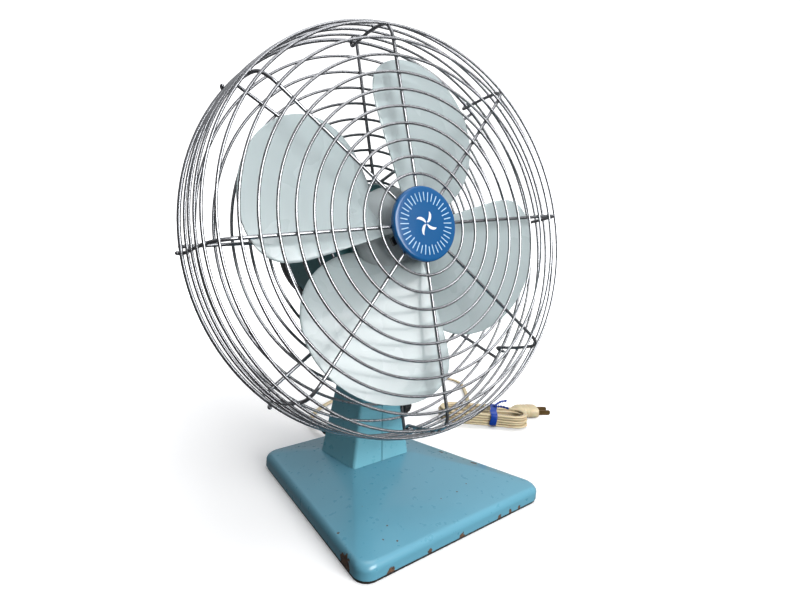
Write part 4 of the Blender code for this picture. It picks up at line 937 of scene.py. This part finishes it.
def make_bell():
    """Enamelled motor shell with rows of raised-lip cooling slots; the lips are bright bare steel, a painted
    highlight for light caught along the slots.
    """
    wall = 0.0018
    inner = [(r - wall, y + (wall if r < 0.049 else 0.0)) for r, y in BELL_PROFILE]
    inner[0] = (0.0095, -0.0280)
    inner[1] = (0.0200, -0.0280)
    inner[2] = (0.0315, -0.0278)
    inner.insert(0, (0.0095, -0.0400))
    outer = rounded(BELL_PROFILE)
    outer[-1] = (0.0595, 0.0494)
    outer.append((0.0590, 0.0500))
    bell = Shape().lathe(outer + inner[::-1], 96, closed=True).build("motor_shell", TEAL, place=HEAD_FRAME)
    boss_profile = ((0.0105, -0.0640), (0.0115, -0.0632), (0.0115, -0.0520))
    boss_shape = Shape().lathe(boss_profile, 40, turn=Matrix.Rotation(math.radians(90), 3, "X"))
    boss = boss_shape.build("motor_boss", TEAL, place=HEAD_FRAME)
    cut(bell, boss, "UNION")
    slots = Shape()
    highlight_lips = Shape()
    for row, (radius, y) in enumerate(VENT_ROWS):
        half = 0.0068 + 0.0004 * row
        for k in range(VENTS_PER_ROW):
            phi = 2 * math.pi * (k + 0.35) / VENTS_PER_ROW
            if abs(math.pi - phi) < 0.42:
                continue
            turn = Matrix.Rotation(phi, 4, "Y")
            slots.box((-half, y - 0.0010, radius - 0.0050), (half, y + 0.0010, radius + 0.0060), turn)
            lip = []
            for j in range(28):
                a = 2 * math.pi * j / 28
                c, s = math.cos(a), math.sin(a)
                along = (half + 0.0002) * math.copysign(min(1.0, abs(c) * 1.25), c)
                lip.append(turn @ Vector((radius * math.sin(along / radius), y + 0.0014 * s,
                                          radius * math.cos(along / radius) + 0.0003)))
            highlight_lips.wire(lip, 0.00055, turn @ Vector((0.0, 0.0, 1.0)), sides=6, cyclic=True)
    cut(bell, slots.build("vent_cutters", TEAL, place=HEAD_FRAME))
    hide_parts("motor_bell")
    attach(bell, "head")
    # Painted highlight: the slot lips are bright bare steel, not the shell's enamel, and stand for light
    # caught along the slots.
    rims = highlight_lips.build("vent_rim_highlights", STEEL, place=HEAD_FRAME, angle=60.0)
    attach(rims, "head")


make_bell()


def make_cap():
    """Black rear cover with two shallow steps and a ring of cooling holes' ribs."""
    outer = [(0.0592, 0.0503), (0.0595, 0.0508), (0.0595, 0.0560), (0.0588, 0.0566), (0.0588, 0.0620),
             (0.0580, 0.0690), (0.0560, 0.0750), (0.0520, 0.0798), (0.0465, 0.0834), (0.0400, 0.0860),
             (0.0330, 0.0878), (0.0325, 0.0884), (0.0300, 0.0888), (0.0120, 0.0896), (0.0090, 0.0890)]
    inner = [(0.0090, 0.0878), (0.0330, 0.0860), (0.0455, 0.0815), (0.0545, 0.0730),
             (0.0577, 0.0620), (0.0577, 0.0503)]
    cap = Shape().lathe(outer + inner, 96, closed=True).build("motor_rear_cover", BLACK, place=HEAD_FRAME)
    holes = Shape()
    for side in (1, -1):
        low, high = sorted((side * 0.050, side * 0.065))
        holes.lathe([(0.0029 if side > 0 else 0.0039, -high), (0.0029 if side > 0 else 0.0039, -low)], 24,
                    centre=(0.0, CRANK_Y, 0.0), turn=Matrix.Rotation(math.radians(90), 3, "X"))
    for k in range(12):
        turn = Matrix.Rotation(2 * math.pi * k / 12, 4, "Y")
        holes.box((-0.0011, 0.080, 0.0180), (0.0011, 0.095, 0.0290), turn)
    cut(cap, holes.build("cover_cutters", BLACK, place=HEAD_FRAME))
    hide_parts("motor_cap")
    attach(cap, "head")


make_cap()

TO_Z = Matrix.Rotation(math.radians(90.0), 4, "X")
CLUTCH_PLACE = HEAD_FRAME @ Matrix.Translation((0.0, CRANK_Y, 0.0602)) @ TO_Z
fluted("oscillation_knob", "osc_knob", "clutch_knob",
       [(0.0026, -0.0180, 0.0), (0.0026, -0.0002, 0.0), (0.0052, 0.0, 0.0), (0.0066, 0.0006, 0.5),
        (0.0070, 0.0018, 1.0), (0.0070, 0.0086, 1.0), (0.0064, 0.0098, 0.5), (0.0050, 0.0104, 0.0)],
       14, 0.0008, CLUTCH_PLACE)

# Fan wheel


def share(value, low, high):
    """How far value is from low to high, held to 0 and 1."""
    return min(1.0, max(0.0, (value - low) / (high - low)))


def blade_edges(radius):
    """Angles of a blade's front and rear edges; the rear one rounds off sooner and draws in at the hub."""
    front = math.sqrt(1.0 - share(radius, 0.060, BLADE_TIP_R) ** 5.5)
    rear = math.sqrt(1.0 - share(radius, 0.055, BLADE_TIP_R) ** 1.8)
    rear *= 1.0 - 0.30 * share(radius, 0.055, BLADE_ROOT_R) ** 2
    return -BLADE_LEAD * front, BLADE_TRAIL * rear


def blade_point(radius, angle, offset):
    """Point of the helical blade surface; the clockwise edge lies further back."""
    middle = (BLADE_TRAIL - BLADE_LEAD) / 2
    half = (BLADE_TRAIL + BLADE_LEAD) / 2
    cup = BLADE_CUP * (1.0 - ((angle - middle) / half) ** 2)
    y = WHEEL_Y + BLADE_TWIST * angle / (math.pi / 3) - cup + offset
    return polar(radius, BLADE_PHASE + angle, y)


def make_blades():
    """Four broad helical blades with rounded rims."""
    rows, columns = 40, 24
    shape = Shape()
    for index in range(BLADES):
        turn = Matrix.Rotation(2 * math.pi * index / BLADES, 3, "Y")
        rings = []
        for i in range(rows):
            s = i / (rows - 1)
            radius = BLADE_ROOT_R + (BLADE_TIP_R - BLADE_ROOT_R) * (1.0 - (1.0 - s) ** 2.2) * 0.9995
            low, high = blade_edges(radius)
            front, back = [], []
            for j in range(columns + 1):
                u = j / columns
                spread = 0.5 - 0.5 * math.cos(math.pi * u)
                edge = min(u, 1.0 - u) * columns
                thick = BLADE_THICK / 2 * min(1.0, (edge / 1.5) ** 0.5) * (1.0 if s < 0.97 else 0.6)
                angle = low + (high - low) * spread
                front.append(turn @ blade_point(radius, angle, -thick))
                if 0 < j < columns:
                    back.append(turn @ blade_point(radius, angle, thick))
            rings.append(front + back[::-1])
        shape.loft(rings)
    blades = shape.build("fan_blades", MINT, place=HEAD_FRAME, angle=60.0)
    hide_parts("fan_wheel")
    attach(blades, "rotor")


def make_hub():
    """Silvered cone with a domed nose, hollow behind, on a collar round the shaft."""
    outer = [(0.0004, -0.0798), (0.0040, -0.0796), (0.0090, -0.0790), (0.0160, -0.0776), (0.0250, -0.0730),
             (0.0340, -0.0648), (0.0385, -0.0580), (0.0405, -0.0530), (0.0408, -0.0500), (0.0404, -0.0490)]
    inner = [(0.0388, -0.0490), (0.0386, -0.0525), (0.0330, -0.0625), (0.0240, -0.0705), (0.0112, -0.0750),
             (0.0112, -0.0455), (0.0106, -0.0450), (0.0043, -0.0450), (0.0043, -0.0704), (0.0004, -0.0706)]
    hub = Shape().lathe(rounded(outer) + inner, 96).build("wheel_hub", HUB, place=HEAD_FRAME)
    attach(hub, "rotor")
    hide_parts("fan_wheel")


make_blades()
make_hub()

# Guards


def face_depth(radius):
    """How far a face ring stands in front of the outermost face ring."""
    if radius >= RING_R - 1e-6:
        return 0.0
    return FACE_RISE - 0.0020 * (radius - INNER_RING_R) / 0.112


def ring(shape, radius, y, wire=RING_WIRE, wave=0.0):
    segments = 128 if radius > 0.09 else 80
    path = []
    for k in range(segments):
        a = GUARD_ROLL + 2 * math.pi * k / segments
        path.append(polar(radius, a, y + wave * math.sin(3 * a + radius * 90.0)))
    shape.wire(path, wire, Vector((0.0, 1.0, 0.0)), sides=9, cyclic=True)


def bead(shape, point, phi, inward):
    """Flattened weld bead where two wires cross."""
    turn = Matrix.Rotation(phi, 3, "Y")
    radii = (0.0019, 0.0014, 0.0019) if not inward else (0.0019, 0.0019, 0.0014)
    shape.blob(point, radii, turn, rows=5, columns=8)


def spoke_profile():
    """Face, bend with side, and hook of a spoke, as (radius, depth) pairs."""
    face = [(0.0140, WIRE_LAP - face_depth(INNER_RING_R))]
    for k in range(0, 9, 2):
        radius = INNER_RING_R + k * RING_STEP
        face.append((radius, WIRE_LAP - face_depth(radius)))
    turn = [(0.1620, -0.0010), (0.1672, 0.0016), (0.1704, 0.0056)]
    side = [(radius - WIRE_LAP, depth) for radius, depth in SIDE_RINGS]
    hook = [(0.1744, 0.0590), (0.1780, 0.0612), (0.1809, 0.0590), (0.1811, 0.0566)]
    return face, turn + side, hook


def make_front_guard():
    rings = Shape()
    beads = Shape()
    face, bend, hook = spoke_profile()
    for k in range(RING_COUNT):
        radius = RING_R - k * RING_STEP
        ring(rings, radius, GUARD_Y - face_depth(radius), wave=0.00025)
    for radius, depth in SIDE_RINGS:
        ring(rings, radius, GUARD_Y + depth)
    rings_piece = rings.build("front_guard_rings", CHROME, place=HEAD_FRAME, angle=75.0)
    spokes = Shape()
    for k in range(SPOKES):
        phi = GUARD_ROLL + 2 * math.pi * k / SPOKES
        controls = [polar(r, phi, GUARD_Y + y) for r, y in face + bend + hook]
        spokes.wire(smooth_path(controls, 6), SPOKE_WIRE, polar(1.0, phi + math.pi / 2), sides=10, dome=True)
        for j in range(RING_COUNT - 1):
            radius = INNER_RING_R + j * RING_STEP
            bead(beads, polar(radius, phi, GUARD_Y - face_depth(radius) + WIRE_LAP * 0.5), phi, False)
        for radius, depth in SIDE_RINGS:
            bead(beads, polar(radius - WIRE_LAP * 0.5, phi, GUARD_Y + depth), phi, True)
    spokes_piece = spokes.build("front_guard_spokes", CHROME, place=HEAD_FRAME, angle=75.0)
    beads_piece = beads.build("front_guard_welds", CHROME_DULL, place=HEAD_FRAME, angle=75.0)
    outline = [(0.0020, GUARD_Y - 0.0061), (0.0176, GUARD_Y - 0.0061), (0.0180, GUARD_Y - 0.0056),
               (0.0180, GUARD_Y - 0.0032), (0.0020, GUARD_Y - 0.0032)]
    plate = Shape().lathe(rounded(outline, 0.0004), 64, closed=True)
    plate_piece = plate.build("front_guard_plate", CHROME_DULL, place=HEAD_FRAME)
    for piece in (rings_piece, spokes_piece, beads_piece, plate_piece):
        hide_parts("front_guard")
        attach(piece, "head")


def make_rear_guard():
    rear_y = GUARD_Y + REAR_DEPTH
    wire_y = rear_y - WIRE_LAP
    rings = Shape()
    for k in range(REAR_RINGS):
        ring(rings, REAR_RING_R0 + k * REAR_RING_STEP, rear_y)
    ring(rings, RIM_R, GUARD_Y + RIM_DEPTH, RIM_WIRE)
    wires = Shape()
    normal = Vector((0.0, 1.0, 0.0))
    for k in range(4):
        a = REAR_ROLL + math.pi / 2 * k
        path = [polar(r, a, wire_y) for r in (REAR_RING_R0 - 0.0012, 0.110, RIM_R + 0.0002)]
        wires.wire(path, SPOKE_WIRE, normal, dome=True)
    spin = Matrix.Rotation(REAR_ROLL, 3, "Y")
    for top in (1, -1):
        for side in (1, -1):
            start = Vector((side * 0.0075, wire_y, top * 0.0505))
            end = polar(RIM_R + 0.0002, math.atan2(side, top) + 0.03, wire_y)
            wires.wire([spin @ start, spin @ ((start + end) / 2), spin @ end], SPOKE_WIRE, normal, dome=True)
    tabs = Shape()
    for k in range(4):
        turn = Matrix.Rotation(math.radians(45.0 + 90.0 * k) + GUARD_ROLL, 4, "Y")
        tabs.box((-0.0045, TAB_Y0, 0.0385), (0.0045, TAB_Y1, 0.0530), turn)
        tabs.box((-0.0043, TAB_Y0 + 0.0004, 0.0512), (0.0043, rear_y, 0.0528), turn)
    pieces = (
        rings.build("rear_guard_rings", CHROME_DULL, place=HEAD_FRAME, angle=75.0),
        wires.build("rear_guard_wires", CHROME_DULL, place=HEAD_FRAME, angle=75.0),
        tabs.build("rear_guard_tabs", CHROME_DULL, place=HEAD_FRAME, bevel=0.0004),
    )
    for piece in pieces:
        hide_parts("rear_guard")
        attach(piece, "head")


make_front_guard()
make_rear_guard()

# Badge


def make_badge():
    """Blue dish with a bright edge, a ring of rays and a small pinwheel."""
    back = GUARD_Y - 0.0065
    front = GUARD_Y - 0.0112
    outer = [(0.0004, front + 0.0001), (0.0100, front), (0.0270, front + 0.0003), (0.0296, front + 0.0004),
             (0.0308, front + 0.0010), (BADGE_R, front + 0.0022), (BADGE_R, back + 0.0003),
             (BADGE_R - 0.0003, back)]
    inner = [(0.0302, back), (0.0300, front + 0.0024), (0.0060, front + 0.0018), (0.0060, back),
             (0.0019, back), (0.0019, front + 0.0016), (0.0004, front + 0.0014)]
    dish = Shape().lathe(rounded(outer) + inner, 96).build("badge_dish", BADGE_FACE, place=HEAD_FRAME)
    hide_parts("badge")
    rays = Shape()
    count = 36
    for k in range(count):
        turn = Matrix.Rotation(2 * math.pi * k / count, 4, "Y")
        length = 0.0080 if k % 2 else 0.0068
        rays.box((-0.00034, front - 0.00012, 0.0258 - length), (0.00034, front + 0.0005, 0.0258), turn)
    rays_piece = rays.build("badge_rays", BADGE_MARKS, place=HEAD_FRAME)
    mark = Shape()
    for k in range(4):
        turn = Matrix.Rotation(math.pi / 2 * k + 0.35, 3, "Y")
        rings = []
        for y in (front - 0.00016, front + 0.0004):
            outline = []
            for bulge, shift, way in ((0.0030, 0.0002, 1), (0.0010, -0.0002, -1)):
                for j in range(14)[::way]:
                    a = math.pi * j / 13
                    point = Vector((bulge * math.sin(a) + shift, y, 0.0056 - 0.0046 * math.cos(a)))
                    outline.append(turn @ point)
            rings.append(outline)
        mark.loft(rings)
    mark_piece = mark.build("badge_pinwheel", WHITE_MARK, place=HEAD_FRAME)
    for piece in (dish, rays_piece, mark_piece):
        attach(piece, "head")


make_badge()

# Carried-over solids

CARRIED = {
    "neck_cap": ENAMEL_NECK,
    "tilt_yoke": TEAL,
    "base_pad": RUBBER,
    "base_plate": FIBRE,
    "speed_switch": BLACK,
    "stator_core": LAMINATION,
    "rotor_core": LAMINATION,
    "stator_coil_front": COPPER,
    "stator_coil_rear": COPPER,
    "bearing_front": BRONZE,
    "bearing_rear": BRONZE,
    "badge_bar": BLACK,
}
REPLACED = {
    "base_shell", "neck_left", "neck_right", "front_guard", "rear_guard", "fan_wheel", "badge", "motor_bell",
    "motor_cap", "speed_knob", "tilt_knob", "osc_knob", "cord_lead", "cord_hank", "cord_tail", "cord_tie",
    "cord_relief", "plug_body", "plug_blade_1", "plug_blade_2",
}
for node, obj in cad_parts.items():
    if node in REPLACED:
        continue
    chosen = CARRIED.get(node, STEEL)
    for slot in obj.material_slots:
        slot.material = chosen

# Floor, backdrop and light


def unlit_stage(obj):
    """Shows a stage piece to the camera only, so that it neither lights the fan nor shows in its chrome."""
    obj.visible_diffuse = False
    obj.visible_glossy = False


def make_stage():
    white = Nodes("studio_white", (0.93, 0.93, 0.93), 0.65)
    white.set(Emission_Color=(1.0, 1.0, 1.0))
    reach = white.new("ShaderNodeVectorMath", operation="LENGTH")
    white.link(white.coords, reach.inputs[0])
    white.set(Emission_Strength=white.blend(white.ramp(reach.outputs["Value"], 0.15, 1.1), 0.16, 1.2))
    half, deep = 4.0, -0.01
    corners = [(-half, -half), (half, -half), (half, half), (-half, half)]
    floor = Shape().loft([[(x, y, z) for x, y in corners] for z in (0.0, deep)])
    unlit_stage(floor.build("studio_floor", white.mat))
    glow = Nodes("studio_backdrop", (1.0, 1.0, 1.0), 1.0)
    glow.set(Emission_Color=(1.0, 1.0, 1.0), Emission_Strength=1.0)
    arcs = []
    for radius, z in ((3.6, -0.02), (3.7, -0.02), (3.7, 4.0), (3.6, 4.0)):
        turns = [2 * math.pi * k / 48 for k in range(48)]
        arcs.append([(radius * math.sin(a), radius * math.cos(a), z) for a in turns])
    wall = Shape().loft(arcs, cyclic=True).build("studio_wall", glow.mat)
    wall.visible_shadow = False
    unlit_stage(wall)


def area_light(name, at, target, size, power, color=(1.0, 1.0, 1.0)):
    data = bpy.data.lights.new(name, "AREA")
    data.shape = "RECTANGLE"
    data.size, data.size_y = size
    data.energy = power
    data.color = color
    obj = bpy.data.objects.new(name, data)
    direction = Vector(target) - Vector(at)
    obj.matrix_world = Matrix.Translation(at) @ direction.to_track_quat("-Z", "Y").to_matrix().to_4x4()
    bpy.context.scene.collection.objects.link(obj)


def make_light():
    """A grey room, darker below and to the left, with a broad key light in front and a weak one overhead."""
    world = bpy.data.worlds.new("studio")
    bpy.context.scene.world = world
    world.use_nodes = True
    tree = world.node_tree
    coords = tree.nodes.new("ShaderNodeTexCoord").outputs["Generated"]
    split = tree.nodes.new("ShaderNodeSeparateXYZ")
    tree.links.new(coords, split.inputs[0])
    height = tree.nodes.new("ShaderNodeMapRange")
    height.inputs["From Min"].default_value = -1.0
    tree.links.new(split.outputs["Z"], height.inputs["Value"])
    ramp = tree.nodes.new("ShaderNodeValToRGB")
    ramp.color_ramp.elements[0].position = 0.42
    ramp.color_ramp.elements[0].color = (0.17, 0.17, 0.175, 1.0)
    ramp.color_ramp.elements[1].position = 0.90
    ramp.color_ramp.elements[1].color = (0.75, 0.76, 0.78, 1.0)
    tree.links.new(height.outputs["Result"], ramp.inputs["Fac"])
    tree.links.new(ramp.outputs["Color"], tree.nodes["Background"].inputs["Color"])
    side = tree.nodes.new("ShaderNodeMapRange")
    side.inputs["From Min"].default_value = -1.0
    side.inputs["To Min"].default_value = 0.34
    side.inputs["To Max"].default_value = 1.25
    tree.links.new(split.outputs["X"], side.inputs["Value"])
    tree.links.new(side.outputs["Result"], tree.nodes["Background"].inputs["Strength"])
    area_light("key", (0.05, -2.05, 1.05), (0.0, 0.0, 0.2), (1.6, 1.2), 58.0)
    area_light("top", (0.3, -0.2, 2.2), (0.0, 0.0, 0.1), (1.4, 1.4), 12.0)
    view = bpy.context.scene.view_settings
    view.view_transform = "Standard"
    view.look = "None"


make_stage()
make_light()
